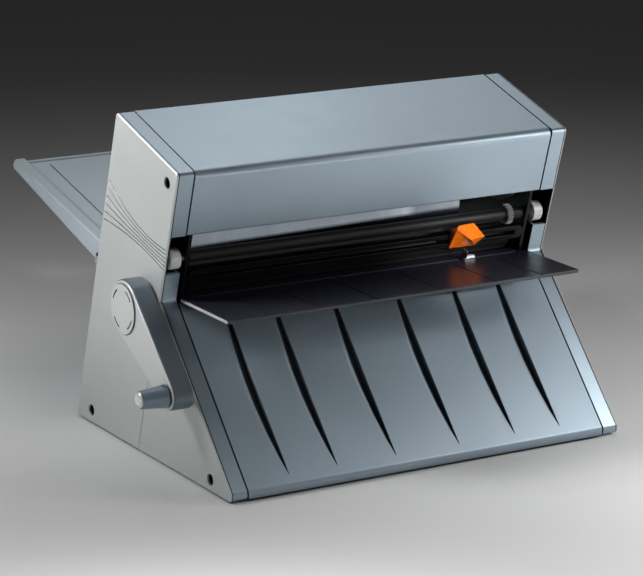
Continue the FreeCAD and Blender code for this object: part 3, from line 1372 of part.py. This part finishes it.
def make_crank_arm():
    """Arm that tapers from hub to grip; drawn along +Y from the crank axis."""
    body = new_body("crank_arm")
    throw, hub, end = d("crank_throw"), d("crank_hub"), d("crank_end")
    cosine = "((%s - %s) / %s)" % (hub, end, throw)
    sine = "sqrt(1 - %s * %s)" % (cosine, cosine)
    blank = [
        ("hub", lambda sk: circle(sk, ("0", "0"), hub)),
        ("end", lambda sk: circle(sk, (throw, "0"), end)),
        ("web", lambda sk: outline(sk, [
            (times(hub, cosine), neg(times(hub, sine))),
            (plus(throw, times(end, cosine)), neg(times(end, sine))),
            (plus(throw, times(end, cosine)), times(end, sine)),
            (times(hub, cosine), times(hub, sine))])),
    ]
    for key, draw in blank:
        sk = sketch(body, "YZ_Plane", "crank_" + key, CRANK_OUTER)
        draw(sk)
        pad(body, sk, d("crank_thick"))
    body.Tip.Refine = True
    face = number(CRANK_OUTER)
    soften(body, "Fillet", d("crank_edge"),
           lambda edge: outer_edge(edge, face) and edge.Length > SHORTEST_RIM_EDGE)
    for key, centre, radius, depth in (
            ("bore", ("0", "0"), d("shaft_radius"), minus(d("crank_thick"), d("crank_floor"))),
            ("pin_hole", (throw, "0"), d("pin_radius"), d("crank_thick"))):
        start = plus(CRANK_OUTER, d("crank_thick"))
        sk = sketch(body, "YZ_Plane", "crank_" + key, start)
        circle(sk, centre, radius)
        pocket(body, sk, depth, -1)
    deliver(on_crank(body))


def make_hub_disc():
    """Disc on the crank hub with four arc slits."""
    body = new_body("crank_hub_disc")
    sk = sketch(body, "YZ_Plane", "disc_outline", CRANK_OUTER)
    circle(sk, ("0", "0"), d("cap_radius"))
    pad(body, sk, d("cap_thick"), -1)
    outer_face = number(minus(CRANK_OUTER, d("cap_thick")))
    soften(body, "Fillet", d("cap_edge"), lambda edge: outer_edge(edge, outer_face))
    slit = sketch(body, "XZ_Plane", "slit_profile")
    left = minus(minus(CRANK_OUTER, d("cap_thick")), PAST)
    rectangle(slit, left, d("slit_radius"), minus(CRANK_OUTER, d("slit_past")),
              plus(d("slit_radius"), d("slit_width")))
    groove = body.newObject("PartDesign::Groove", "hub_slit")
    groove.Profile = slit
    groove.ReferenceAxis = (slit, ["H_Axis"])
    groove.setExpression("Angle", d("slit_angle"))
    doc.recompute()
    pattern = body.newObject("PartDesign::PolarPattern", "hub_slits")
    pattern.Originals = [groove]
    axis = next(f for f in body.Origin.OriginFeatures if f.Role == "X_Axis")
    pattern.Axis = (axis, [""])
    pattern.Angle = 360
    pattern.Occurrences = 4
    body.Tip = pattern
    deliver(on_crank(body, d("cap_turn")))


def grip_axis():
    """World y and z of the grip axis."""
    y, z = head_point(d("nip_back"), d("lower_down"))
    reach = d("crank_throw")
    return (minus(y, times(reach, "cos(Dims.crank_droop)")),
            minus(plus(z, d("foot_lift")), times(reach, "sin(Dims.crank_droop)")))


# Outline of the domed cap from the grip outward, as shares of its height and radius.
CAP_DOME = [("0", "1"), ("0.31", "1"), ("0.69", "0.86"), ("1", "0.5")]
PIN_SHORT = "0.5"  # how far the pin stops short of the grip's end


def make_grip():
    """Grip that turns on a pin in the arm, with its domed cap."""
    y, z = grip_axis()
    start = minus(CRANK_OUTER, d("grip_gap"))
    end = minus(start, d("grip_length"))
    play = plus(d("pin_radius"), d("journal_play"))
    chamfer = d("grip_chamfer")
    grip = turned("crank_grip", [(start, play), (start, minus(d("grip_root"), chamfer)),
                                 (minus(start, chamfer), d("grip_root")), (end, d("grip_end")),
                                 (end, play)])
    facet = sketch(grip, "XZ_Plane", "grip_facet")
    facet_end, facet_start = minus(end, PAST), minus(start, chamfer)
    clear = times("2", d("grip_root"))
    outline(facet, [(facet_end, d("grip_flat_out")), (facet_start, d("grip_flat_in")),
                    (facet_start, clear), (facet_end, clear)])
    pocket(grip, facet, times("2", clear), 0)
    place(grip, y=y, z=z)
    inner_end, outer_end = plus(CRANK_OUTER, d("crank_thick")), plus(end, PIN_SHORT)
    pin = turned("crank_grip_pin", [(inner_end, "0"), (inner_end, d("pin_radius")),
                                    (outer_end, d("pin_radius")), (outer_end, "0")])
    place(pin, y=y, z=z)
    radius = minus(d("grip_end"), d("grip_cap_inset"))
    dome = [(minus(end, times(out, d("grip_cap_dome"))), times(wide, radius))
            for out, wide in CAP_DOME]
    cap = turned("grip_cap", [(end, "0")] + dome + [(dome[-1][0], "0")])
    place(cap, y=y, z=z)
    deliver(grip, pin, cap)


# --- build, check and export -----------------------------------------------------------

def check_and_export():
    doc.recompute()
    for item in doc.Objects:
        if "Invalid" in item.State or "Error" in item.State:
            raise RuntimeError("%s is in state %s" % (item.Name, item.State))
    os.makedirs("parts", exist_ok=True)
    for item in SUBPARTS:
        shape = item.Shape
        if shape.isNull() or not shape.isValid() or not shape.Solids:
            raise RuntimeError(item.Label + " has no valid solid")
        shape.exportStep("parts/%s.step" % item.Label)
        box = shape.BoundBox
        print("%-26s solids %2d  x %8.2f %8.2f  y %8.2f %8.2f  z %8.2f %8.2f" % (
            item.Label, len(shape.Solids), box.XMin, box.XMax, box.YMin, box.YMax,
            box.ZMin, box.ZMax))


BUILDERS = [
    make_base_plate, make_rubber_feet, make_side_frames, make_side_covers, make_cheeks,
    make_cover_screws, make_top_cover, make_rear_skins, make_ramp_panel, make_exit_shelf,
    make_shelf_beam, make_feed_plate, make_bearing_plates, make_tie_rods, make_bushes,
    make_nip_rollers,
    make_nip_gears, make_guide_roller, make_toothed_ring, make_film_rolls, make_film_web,
    make_cutter_rail, make_rail_brackets, make_cutter, make_feed_tray, make_tray_hinges,
    make_crank_arm, make_hub_disc, make_grip,
]
for builder in BUILDERS:
    builder()
check_and_export()
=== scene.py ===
"""Hand-cranked cold roll laminator: finishes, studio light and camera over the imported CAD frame.

Metres, +X to the operator's right, +Y to the rear, +Z up. Nothing of the CAD is moved. Each CAD piece gets
a procedural finish, and the camera stands where the machine is seen from its front left, slightly above.
"""
import json
import math

import bpy
from mathutils import Matrix, Vector


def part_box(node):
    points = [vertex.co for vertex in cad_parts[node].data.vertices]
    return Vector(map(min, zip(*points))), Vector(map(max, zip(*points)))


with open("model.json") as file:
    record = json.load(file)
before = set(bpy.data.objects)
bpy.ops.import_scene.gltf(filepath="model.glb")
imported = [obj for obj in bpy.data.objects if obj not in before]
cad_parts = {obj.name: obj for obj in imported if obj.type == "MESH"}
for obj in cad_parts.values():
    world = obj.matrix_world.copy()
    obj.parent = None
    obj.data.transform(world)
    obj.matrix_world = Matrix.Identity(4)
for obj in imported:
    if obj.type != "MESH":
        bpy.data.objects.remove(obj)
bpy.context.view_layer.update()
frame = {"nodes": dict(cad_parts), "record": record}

MM = 0.001

SHELF_END = abs(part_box("exit_shelf")[0][0]) - 1.5 * MM
GUIDE_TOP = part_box("guide_roller")[1][2]
COVER_INSIDE = abs(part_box("left_side_frame")[0][0]) + 1.0 * MM
FRAME_INSIDE = abs(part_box("left_side_frame")[1][0]) + 0.5 * MM


# ---------------------------------------------------------------------------------------------
# Small helpers for node materials
# ---------------------------------------------------------------------------------------------

BEVEL_SAMPLES = 4
OPEN_AIR_SAMPLES = 8
FLAT_DOT = 0.995  # the softened normal against the true one, on a face as good as flat
EDGE_DOT = 0.88  # the same, on an edge
END_FACE_X = 0.8  # least X of the normal of a face that counts as square to X


def srgb(red, green, blue):
    """A colour given as 0 to 255 on a screen, as the linear colour a shader takes."""
    def linear(value):
        value /= 255.0
        return value / 12.92 if value <= 0.04045 else ((value + 0.055) / 1.055) ** 2.4
    return (linear(red), linear(green), linear(blue), 1.0)


def shade(colour, factor):
    """The same colour, lighter or darker."""
    return tuple(min(1.0, channel * factor) for channel in colour[:3]) + (1.0,)


class Finish:
    """A material and the nodes in it."""

    def __init__(self, name):
        self.material = bpy.data.materials.new(name)
        self.material.use_nodes = True
        self.nodes = self.material.node_tree.nodes
        self.links = self.material.node_tree.links
        self.shader = self.nodes["Principled BSDF"]
        self.place = self.nodes.new("ShaderNodeTexCoord").outputs["Object"]

    def set(self, **values):
        """Numbers and colours on the shader's own sockets. An underscore stands for a space."""
        for name, value in values.items():
            self.shader.inputs[name.replace("_", " ")].default_value = value

    def drive(self, name, output):
        self.links.new(output, self.shader.inputs[name])

    def stretched(self, stretch):
        """The place on the object, stretched by a factor on each axis."""
        node = self.nodes.new("ShaderNodeMapping")
        node.inputs["Scale"].default_value = stretch
        self.links.new(self.place, node.inputs["Vector"])
        return node.outputs["Vector"]

    def noise(self, per_metre, detail=2.0, roughness=0.5, stretch=(1.0, 1.0, 1.0)):
        node = self.nodes.new("ShaderNodeTexNoise")
        node.inputs["Scale"].default_value = per_metre
        node.inputs["Detail"].default_value = detail
        node.inputs["Roughness"].default_value = roughness
        self.links.new(self.stretched(stretch), node.inputs["Vector"])
        return node.outputs["Fac"]

    def rings(self, per_metre, axis="X", distortion=0.0):
        """Lines across one axis, as a saw or a winding leaves them."""
        node = self.nodes.new("ShaderNodeTexWave")
        node.bands_direction = axis
        node.inputs["Scale"].default_value = per_metre
        node.inputs["Distortion"].default_value = distortion
        self.links.new(self.place, node.inputs["Vector"])
        return node.outputs["Fac"]

    def ramp(self, value, low, high, out_low=0.0, out_high=1.0):
        """Value from low to high, as out_low to out_high, clamped."""
        node = self.nodes.new("ShaderNodeMapRange")
        node.inputs["From Min"].default_value = low
        node.inputs["From Max"].default_value = high
        node.inputs["To Min"].default_value = out_low
        node.inputs["To Max"].default_value = out_high
        self.links.new(value, node.inputs["Value"])
        return node.outputs["Result"]

    def maths(self, operation, first, second):
        node = self.nodes.new("ShaderNodeMath")
        node.operation = operation
        for socket, value in zip(node.inputs, (first, second)):
            if isinstance(value, (int, float)):
                socket.default_value = value
            else:
                self.links.new(value, socket)
        return node.outputs["Value"]

    def mix(self, amount, first, second):
        """A colour between two colours or colour outputs."""
        node = self.nodes.new("ShaderNodeMix")
        node.data_type = "RGBA"
        self.links.new(amount, node.inputs["Factor"])
        for socket, value in zip((node.inputs[6], node.inputs[7]), (first, second)):
            if isinstance(value, tuple):
                socket.default_value = value
            else:
                self.links.new(value, socket)
        return node.outputs[2]

    def edges(self, radius):
        """1 on outside and inside edges within radius, 0 on flat faces."""
        bevel = self.nodes.new("ShaderNodeBevel")
        bevel.samples = BEVEL_SAMPLES
        bevel.inputs["Radius"].default_value = radius
        geometry = self.nodes.new("ShaderNodeNewGeometry")
        dot = self.nodes.new("ShaderNodeVectorMath")
        dot.operation = "DOT_PRODUCT"
        self.links.new(bevel.outputs["Normal"], dot.inputs[0])
        self.links.new(geometry.outputs["Normal"], dot.inputs[1])
        return self.ramp(dot.outputs["Value"], FLAT_DOT, EDGE_DOT)

    def open_air(self, reach):
        """1 on open faces, towards 0 in grooves and corners narrower than reach."""
        node = self.nodes.new("ShaderNodeAmbientOcclusion")
        node.samples = OPEN_AIR_SAMPLES
        node.inputs["Distance"].default_value = reach
        return node.outputs["AO"]

    def part_of(self, output, axis):
        """One of X, Y and Z of a vector, without its sign."""
        node = self.nodes.new("ShaderNodeSeparateXYZ")
        self.links.new(output, node.inputs["Vector"])
        return self.maths("ABSOLUTE", node.outputs[axis], 0.0)

    def inside_of(self, limit):
        """1 nearer the machine's middle plane than limit, 0 farther out."""
        geometry = self.nodes.new("ShaderNodeNewGeometry")
        return self.maths("LESS_THAN", self.part_of(geometry.outputs["Position"], "X"), limit)

    def end_faces(self):
        """1 on faces square to X."""
        geometry = self.nodes.new("ShaderNodeNewGeometry")
        across = self.part_of(geometry.outputs["True Normal"], "X")
        return self.maths("GREATER_THAN", across, END_FACE_X)

    def relief(self, height, depth, strength=1.0, over=None, rounding=None):
        """Bumps of that depth in metres. Over is an earlier relief, and rounding softens hard edges."""
        node = self.nodes.new("ShaderNodeBump")
        node.inputs["Strength"].default_value = strength
        node.inputs["Distance"].default_value = depth
        self.links.new(height, node.inputs["Height"])
        if over is not None:
            self.links.new(over, node.inputs["Normal"])
        elif rounding is not None:
            bevel = self.nodes.new("ShaderNodeBevel")
            bevel.samples = BEVEL_SAMPLES
            bevel.inputs["Radius"].default_value = rounding
            self.links.new(bevel.outputs["Normal"], node.inputs["Normal"])
        return node.outputs["Normal"]


# ---------------------------------------------------------------------------------------------
# Finishes
# ---------------------------------------------------------------------------------------------

# Painted shade: the near black given to the machine's inside, where it lies in shade.
INSIDE_PAINTED_SHADE = srgb(5, 5, 7)


def moulded(name, colour, metallic, roughness, coat=0.0, grain=1.0, wear=0.35, inside=0.0,
            groove=2.0 * MM, rim=None):
    """Satin moulded or painted plastic: orange peel, a fine spark texture, cloudy gloss, lighter edges and
    painted shade in grooves down to groove in width. Where inside isn't 0, what lies nearer the machine's
    middle plane than that is painted black as shade. Rim is painted shade: another colour for faces not
    square to X."""
    finish = Finish(name)
    finish.set(Metallic=metallic, Coat_Weight=coat, Coat_Roughness=0.25, Specular_IOR_Level=0.45)
    cloud = finish.noise(9.0, 4.0, 0.55)
    fleck = finish.noise(2600.0, 2.0, 0.6)
    peel = finish.noise(420.0, 2.0, 0.5)
    body = finish.mix(cloud, shade(colour, 0.94), shade(colour, 1.06))
    flecked = finish.mix(finish.ramp(fleck, 0.35, 0.75, 0.0, 0.3), body, shade(colour, 1.25))
    open_air = finish.open_air(groove)
    patches = finish.ramp(cloud, 0.3, 0.7, 0.4 * wear, wear)
    rubbed = finish.maths("MULTIPLY", finish.edges(0.9 * MM), patches)
    rubbed = finish.maths("MULTIPLY", rubbed, finish.ramp(open_air, 0.9, 1.0))
    worn = finish.mix(rubbed, flecked, shade(colour, 1.6))
    # Painted shade: faces not square to X take the darker rim colour.
    if rim is not None:
        worn = finish.mix(finish.end_faces(), rim, worn)
    # Painted shade: grooves and corners narrower than groove are darkened towards near black.
    tone = finish.mix(finish.ramp(open_air, 0.35, 0.95), shade(colour, 0.12), worn)
    # Painted shade: nearer the middle plane than inside, the part is painted near black.
    if inside:
        tone = finish.mix(finish.inside_of(inside), tone, INSIDE_PAINTED_SHADE)
    finish.drive("Base Color", tone)
    handled = finish.noise(35.0, 5.0, 0.6)
    finish.drive("Roughness", finish.ramp(handled, 0.25, 0.75, roughness - 0.04, roughness + 0.06))
    coarse = finish.relief(peel, 0.05 * MM, 0.25 * grain, rounding=0.5 * MM)
    finish.drive("Normal", finish.relief(fleck, 0.02 * MM, 0.35 * grain, over=coarse))
    return finish.material


def rubber(name, colour, roughness, ground=True):
    """Matt rubber. A roller's sleeve is ground, which leaves fine rings round it."""
    finish = Finish(name)
    finish.set(Specular_IOR_Level=0.3, Sheen_Weight=0.05, Sheen_Roughness=0.5)
    dust = finish.noise(60.0, 6.0, 0.65)
    finish.drive("Base Color", finish.mix(finish.ramp(dust, 0.45, 0.8), colour, shade(colour, 2.2)))
    finish.drive("Roughness", finish.ramp(dust, 0.3, 0.7, roughness - 0.06, roughness + 0.08))
    pores = finish.noise(3000.0, 3.0, 0.6)
    normal = finish.relief(pores, 0.03 * MM, 0.5, rounding=0.4 * MM)
    if ground:
        normal = finish.relief(finish.rings(700.0, "X", 1.5), 0.02 * MM, 0.4, over=normal)
    finish.drive("Normal", normal)
    return finish.material


def machined(name, colour, roughness, turned=True):
    """Bare steel or brass: turned rings or a drawn grain along X, faint stains and bright edges."""
    finish = Finish(name)
    finish.set(Metallic=1.0)
    stain = finish.noise(45.0, 5.0, 0.6)
    finish.drive("Base Color", finish.mix(finish.ramp(stain, 0.35, 0.75), shade(colour, 1.08),
                                          shade(colour, 0.72)))
    grain = finish.rings(900.0, "X", 2.0) if turned else finish.noise(900.0, 2.0, 0.5, (0.03, 1.0, 1.0))
    finish.drive("Roughness", finish.ramp(stain, 0.3, 0.7, roughness - 0.06, roughness + 0.12))
    finish.drive("Normal", finish.relief(grain, 0.02 * MM, 0.35, rounding=0.3 * MM))
    return finish.material


def anodised(name, colour, roughness):
    """Black anodised or powder-coated metal with a drawn grain and worn edges."""
    finish = Finish(name)
    finish.set(Metallic=0.55, Specular_IOR_Level=0.6)
    cloud = finish.noise(25.0, 5.0, 0.6)
    drawn = finish.noise(1400.0, 2.0, 0.5, (0.02, 1.0, 1.0))
    base = finish.mix(cloud, shade(colour, 0.8), shade(colour, 1.3))
    worn = finish.maths("MULTIPLY", finish.edges(0.5 * MM), finish.ramp(cloud, 0.4, 0.7, 0.15, 0.6))
    finish.drive("Base Color", finish.mix(worn, base, srgb(128, 132, 138)))
    finish.drive("Roughness", finish.ramp(cloud, 0.3, 0.7, roughness - 0.05, roughness + 0.08))
    finish.drive("Normal", finish.relief(drawn, 0.03 * MM, 0.3, rounding=0.4 * MM))
    return finish.material


# Painted highlight: the pale colour of the shelf's end faces.
END_PAINTED_HIGHLIGHT = srgb(196, 196, 204)


def shelf_plastic():
    """Nearly black, violet cast, a fine texture and scuffs along the sheet's way. Painted highlight on its
    ends.
    """
    colour = srgb(38, 38, 50)
    finish = Finish("shelf_black_plastic")
    finish.set(Specular_IOR_Level=0.5, Coat_Weight=0.2, Coat_Roughness=0.3)
    cloud = finish.noise(14.0, 4.0, 0.6)
    scuff = finish.noise(300.0, 4.0, 0.7, (1.0, 0.04, 1.0))
    patches = finish.ramp(cloud, 0.45, 0.65, 0.0, 0.35)
    scuffed = finish.maths("MULTIPLY", finish.ramp(scuff, 0.6, 0.8), patches)
    base = finish.mix(cloud, shade(colour, 0.85), shade(colour, 1.15))
    marked = finish.mix(scuffed, base, shade(colour, 2.4))
    rubbed = finish.maths("MULTIPLY", finish.edges(0.6 * MM), 0.12)
    worn = finish.mix(rubbed, marked, shade(colour, 4.0))
    # Painted highlight: the end faces at the shelf's ends are painted pale.
    ends = finish.maths("SUBTRACT", finish.end_faces(), finish.inside_of(SHELF_END))
    finish.drive("Base Color", finish.mix(ends, worn, END_PAINTED_HIGHLIGHT))
    finish.drive("Roughness", finish.ramp(scuff, 0.3, 0.8, 0.3, 0.42))
    grain = finish.noise(1800.0, 2.0, 0.6)
    finish.drive("Normal", finish.relief(grain, 0.03 * MM, 0.35, rounding=0.5 * MM))
    return finish.material


def orange_plastic():
    """Glossy saturated orange, a little lighter where it is thin at its edges."""
    colour = srgb(244, 118, 18)
    finish = Finish("orange_gloss_plastic")
    finish.set(Specular_IOR_Level=0.55, Coat_Weight=0.5, Coat_Roughness=0.12,
               Subsurface_Weight=0.12, Subsurface_Radius=(0.004, 0.0015, 0.0005))
    cloud = finish.noise(80.0, 3.0, 0.5)
    base = finish.mix(cloud, shade(colour, 0.92), shade(colour, 1.05))
    thin = finish.maths("MULTIPLY", finish.edges(0.5 * MM), 0.6)
    finish.drive("Base Color", finish.mix(thin, base, srgb(255, 186, 90)))
    finish.drive("Roughness", finish.ramp(cloud, 0.3, 0.7, 0.22, 0.32))
    ripple = finish.noise(700.0, 2.0, 0.5)
    finish.drive("Normal", finish.relief(ripple, 0.03 * MM, 0.2, rounding=0.6 * MM))
    return finish.material


def glossy_film(name):
    """A film's gloss and its faint bands. Gives the finish and the bands, for the colour."""
    finish = Finish(name)
    finish.set(Specular_IOR_Level=0.6, Coat_Weight=0.6, Coat_Roughness=0.08)
    bands = finish.noise(120.0, 3.0, 0.5, (1.0, 0.05, 0.05))
    finish.drive("Roughness", finish.ramp(bands, 0.3, 0.7, 0.12, 0.24))
    finish.drive("Normal", finish.relief(bands, 0.05 * MM, 0.3, rounding=0.3 * MM))
    return finish, bands


WEB_SLANT = 0.02  # rise per metre of X of the line where the film's painted reflection gives way to painted shade
WEB_SHADE_HEIGHT = GUIDE_TOP + 2.5 * MM
WEB_REFLECTION_HEIGHT = GUIDE_TOP + 6.0 * MM
WEB_BREAK = 0.055  # X where the film's painted reflection dims
WEB_BREAK_WIDTH = 12 * MM
WEB_REFLECTION_DIM = 0.35  # what is left of the painted reflection past the break


def film_web(name, colour):
    """The stretched film: a painted reflection under the cover's edge, fading rightwards, and painted shade
    low down.
    """
    finish, bands = glossy_film(name)
    geometry = finish.nodes.new("ShaderNodeNewGeometry")
    slant = finish.nodes.new("ShaderNodeVectorMath")
    slant.operation = "DOT_PRODUCT"
    slant.inputs[1].default_value = (-WEB_SLANT, 0.0, 1.0)
    finish.links.new(geometry.outputs["Position"], slant.inputs[0])
    upper = finish.ramp(slant.outputs["Value"], WEB_SHADE_HEIGHT, WEB_REFLECTION_HEIGHT)
    across = finish.nodes.new("ShaderNodeSeparateXYZ")
    finish.links.new(geometry.outputs["Position"], across.inputs["Vector"])
    left = finish.ramp(across.outputs["X"], WEB_BREAK, WEB_BREAK + WEB_BREAK_WIDTH, 1.0, WEB_REFLECTION_DIM)
    # Painted reflection in the light colour above, painted shade in the dark colour below.
    light = finish.mix(bands, shade(colour, 0.86), shade(colour, 1.08))
    dark = srgb(14, 16, 26)
    finish.drive("Base Color", finish.mix(finish.maths("MULTIPLY", upper, left), dark, light))
    return finish.material


def wound_film(name, colour):
    """Glossy film on a roll, with faint bands across its length."""
    finish, bands = glossy_film(name)
    finish.drive("Base Color", finish.mix(bands, shade(colour, 0.86), shade(colour, 1.05)))
    return finish.material


def card():
    """Spiral-wound card tube: fibres, and darker joints between the turns of the strip."""
    colour = srgb(178, 148, 108)
    finish = Finish("core_card")
    finish.set(Specular_IOR_Level=0.2)
    fibre = finish.noise(900.0, 5.0, 0.7, (1.0, 0.25, 0.25))
    joints = finish.ramp(finish.rings(6.0, "X", 0.0), 0.0, 0.04, 1.0, 0.0)
    base = finish.mix(fibre, shade(colour, 0.75), shade(colour, 1.15))
    finish.drive("Base Color", finish.mix(joints, base, shade(colour, 0.5)))
    finish.drive("Roughness", finish.ramp(fibre, 0.3, 0.7, 0.75, 0.92))
    finish.drive("Normal", finish.relief(fibre, 0.08 * MM, 0.5))
    return finish.material


PALE_GREY = srgb(203, 207, 206)
BLUE_GREY = srgb(164, 180, 191)

SIDE = moulded("side_cover_satin", PALE_GREY, 0.55, 0.42)
# Painted shade: the cover's inside is painted near black.
COVER = moulded("side_cover_satin_painted_shade_inside", PALE_GREY, 0.55, 0.42, inside=COVER_INSIDE)
SKIN = moulded("skin_satin_blue_grey", BLUE_GREY, 0.7, 0.38)
# Painted shade: the frame's inside is painted near black.
FRAME = moulded("frame_satin_painted_shade_inside", BLUE_GREY, 0.7, 0.38, inside=FRAME_INSIDE)
# Painted shade: the 9 mm groove reach darkens the ramp's slashes to near black.
RAMP = moulded("ramp_satin_slate", srgb(158, 174, 186), 0.35, 0.4, groove=9.0 * MM)
# Painted shade: the arm's sides take a darker copy of its colour, for the shade they lie in.
ARM = moulded("crank_arm_painted_side_shade", srgb(214, 217, 215), 0.35, 0.42, rim=srgb(104, 114, 124))
GRIP = moulded("grip_dark_slate", srgb(124, 138, 152), 0.3, 0.42, grain=1.6)
CAP = moulded("grip_cap_bright", srgb(236, 238, 240), 0.2, 0.26, coat=0.4)
TRAY = moulded("tray_satin_pale", srgb(188, 200, 208), 0.45, 0.38)
GREY = moulded("grey_nylon", srgb(128, 131, 133), 0.0, 0.45, grain=1.4)
WHITE = moulded("white_acetal", srgb(226, 226, 222), 0.0, 0.28, coat=0.3, wear=0.1)
DARK = moulded("dark_nylon", srgb(42, 43, 48), 0.0, 0.34, coat=0.2)
SHELF = shelf_plastic()
ORANGE = orange_plastic()
RUBBER = rubber("roller_rubber", srgb(7, 7, 9), 0.5)
FOOT = rubber("foot_rubber", srgb(26, 26, 27), 0.7, ground=False)
BLACK = anodised("black_anodised", srgb(7, 7, 10), 0.4)
STEEL = machined("turned_steel", srgb(190, 192, 195), 0.24)
BLADE = machined("ground_blade_steel", srgb(200, 203, 208), 0.16, turned=False)
BRASS = machined("bush_brass", srgb(196, 158, 84), 0.3)
FILM = wound_film("clear_film_wound", srgb(110, 120, 134))
# Painted reflection: the web's pale colour stands in for what its gloss reflects.
WEB = film_web("film_web_painted_reflection", srgb(226, 238, 255))
CARD = card()

BY_SLOT = {
    "black_rubber": RUBBER,
    "black_steel": BLACK,
    "brass": BRASS,
    "card_core": CARD,
    "cover_plastic": SIDE,
    "dark_plastic": DARK,
    "film": FILM,
    "grey_plastic": GREY,
    "orange_plastic": ORANGE,
    "ramp_plastic": RAMP,
    "skin_plastic": SKIN,
    "slate_plastic": GRIP,
    "steel": STEEL,
    "white_plastic": WHITE,
}

BY_NODE = {
    "exit_shelf": SHELF,
    "rubber_feet": FOOT,
    "upper_film_web": WEB,
    "cutter_blade": BLADE,
    "guide_roller": RUBBER,
    "grip_cap": CAP,
    "feed_tray_pan": TRAY,
    "feed_tray_left_rail": TRAY,
    "feed_tray_right_rail": TRAY,
    "crank_arm": ARM,
    "crank_hub_disc": ARM,
    "side_cover_screws": BLACK,
    "left_side_cover": COVER,
    "right_side_cover": COVER,
    "left_front_cheek": COVER,
    "right_front_cheek": COVER,
    "left_side_frame": FRAME,
    "right_side_frame": FRAME,
}


def finish_nodes():
    """Every CAD node takes its own finish, or the one of its record slot."""
    slot_of = {part["node"]: part["material_slot"] for part in frame["record"]["subparts"]}
    for name, piece in frame["nodes"].items():
        material = BY_NODE.get(name) or BY_SLOT[slot_of[name]]
        for slot in piece.material_slots:
            slot.material = material


# ---------------------------------------------------------------------------------------------
# Floor, light and camera
# ---------------------------------------------------------------------------------------------

FLOOR_SIZE = 30.0


def make_floor():
    """A wide plain pale floor."""
    half = FLOOR_SIZE / 2
    mesh = bpy.data.meshes.new("studio_floor")
    corners = [(-half, -half, 0), (half, -half, 0), (half, half, 0), (-half, half, 0)]
    mesh.from_pydata(corners, [], [(0, 1, 2, 3)])
    floor = bpy.data.objects.new("studio_floor", mesh)
    bpy.context.scene.collection.objects.link(floor)
    finish = Finish("studio_floor_paper")
    finish.set(Specular_IOR_Level=0.2, Roughness=0.75)
    tone = finish.noise(3.0, 3.0, 0.5)
    finish.drive("Base Color", finish.mix(tone, srgb(226, 226, 226), srgb(231, 231, 231)))
    mesh.materials.append(finish.material)


def soft_light(name, place, target, width, height, watts, spread=180):
    """A rectangular soft box at place that faces target."""
    light = bpy.data.lights.new(name, "AREA")
    light.shape = "RECTANGLE"
    light.size = width
    light.size_y = height
    light.energy = watts
    light.spread = math.radians(spread)
    lamp = bpy.data.objects.new(name, light)
    lamp.location = place
    lamp.rotation_euler = (Vector(target) - Vector(place)).to_track_quat("-Z", "Y").to_euler()
    bpy.context.scene.collection.objects.link(lamp)


DOWN = Vector((0.0, 0.0, -1.0))
MACHINE = (0.0, 0.1, 0.12)  # about the middle of the machine
HEAD_TOP = (0.0, 0.15, 0.3)
POOL_HEIGHT = 0.85
POOL_SIZE = 0.5
POOL_SPREAD = 100
ROOM_LIGHT = 0.02


def floor_pool(name, x, y, watts):
    """A soft box that points straight down, shaded so that it lights mostly the floor below it."""
    place = Vector((x, y, POOL_HEIGHT))
    soft_light(name, place, place + DOWN, POOL_SIZE, POOL_SIZE, watts, spread=POOL_SPREAD)


def make_lights():
    """Pools of light on the floor, soft boxes round and above the machine, a wash over its left side,
    a small spot on the cutter and a dim room."""
    floor_pool("pool_front_right", 0.6, -0.75, 6.6)
    floor_pool("pool_left_rear", -0.9, 0.6, 3.8)
    soft_light("near_right", (0.62, -0.34, 0.42), (0.15, 0.05, 0.1), 0.35, 0.35, 2.1)
    soft_light("rear_left", (-1.06, 0.71, 0.56), MACHINE, 0.6, 0.6, 0.4)
    soft_light("rear_right", (0.65, 0.75, 1.04), MACHINE, 0.6, 0.6, 0.9)
    soft_light("overhead", (0.0, 0.25, 0.9), HEAD_TOP, 0.5, 0.5, 1.0)
    soft_light("overhead_rear", (0.3, 1.0, 1.1), HEAD_TOP, 0.6, 0.6, 0.6)
    soft_light("side_wash", (-0.85, 0.45, 0.75), (-0.2, 0.22, 0.42), 0.3, 0.3, 1.1, spread=50)
    soft_light("floor_near", (-0.5, -0.5, 0.7), (-0.5, -0.5, 0.0), 0.35, 0.35, 2.6, spread=75)
    soft_light("cutter_spot", (0.3, -0.9, 0.5), (0.115, 0.12, 0.187), 0.05, 0.05, 0.03, spread=8)
    world = bpy.data.worlds.new("studio")
    world.use_nodes = True
    world.node_tree.nodes["Background"].inputs["Color"].default_value = (1.0, 1.0, 1.0, 1.0)
    world.node_tree.nodes["Background"].inputs["Strength"].default_value = ROOM_LIGHT
    bpy.context.scene.world = world


CAMERA_PLACE = (-1.4148, -2.1799, 0.8516)
CAMERA_RIGHT = Vector((0.86073, -0.50904, 0.00593))
CAMERA_UP = Vector((0.12357, 0.22023, 0.96759))
CAMERA_LENS = 163.2
SENSOR_WIDTH = 36.0
CAMERA_REACH = 100.0


def make_camera():
    """A long lens from the front left, looking down about 15 degrees."""
    data = bpy.data.cameras.new("studio_camera")
    data.lens = CAMERA_LENS
    data.sensor_width = SENSOR_WIDTH
    data.clip_end = CAMERA_REACH
    camera = bpy.data.objects.new("studio_camera", data)
    back = CAMERA_RIGHT.cross(CAMERA_UP)
    turn = [[CAMERA_RIGHT[row], CAMERA_UP[row], back[row], CAMERA_PLACE[row]] for row in range(3)]
    camera.matrix_world = Matrix(turn + [[0, 0, 0, 1]])
    bpy.context.scene.collection.objects.link(camera)
    bpy.context.scene.camera = camera


finish_nodes()
make_floor()
make_lights()
make_camera()
bpy.context.scene.view_settings.view_transform = "Standard"
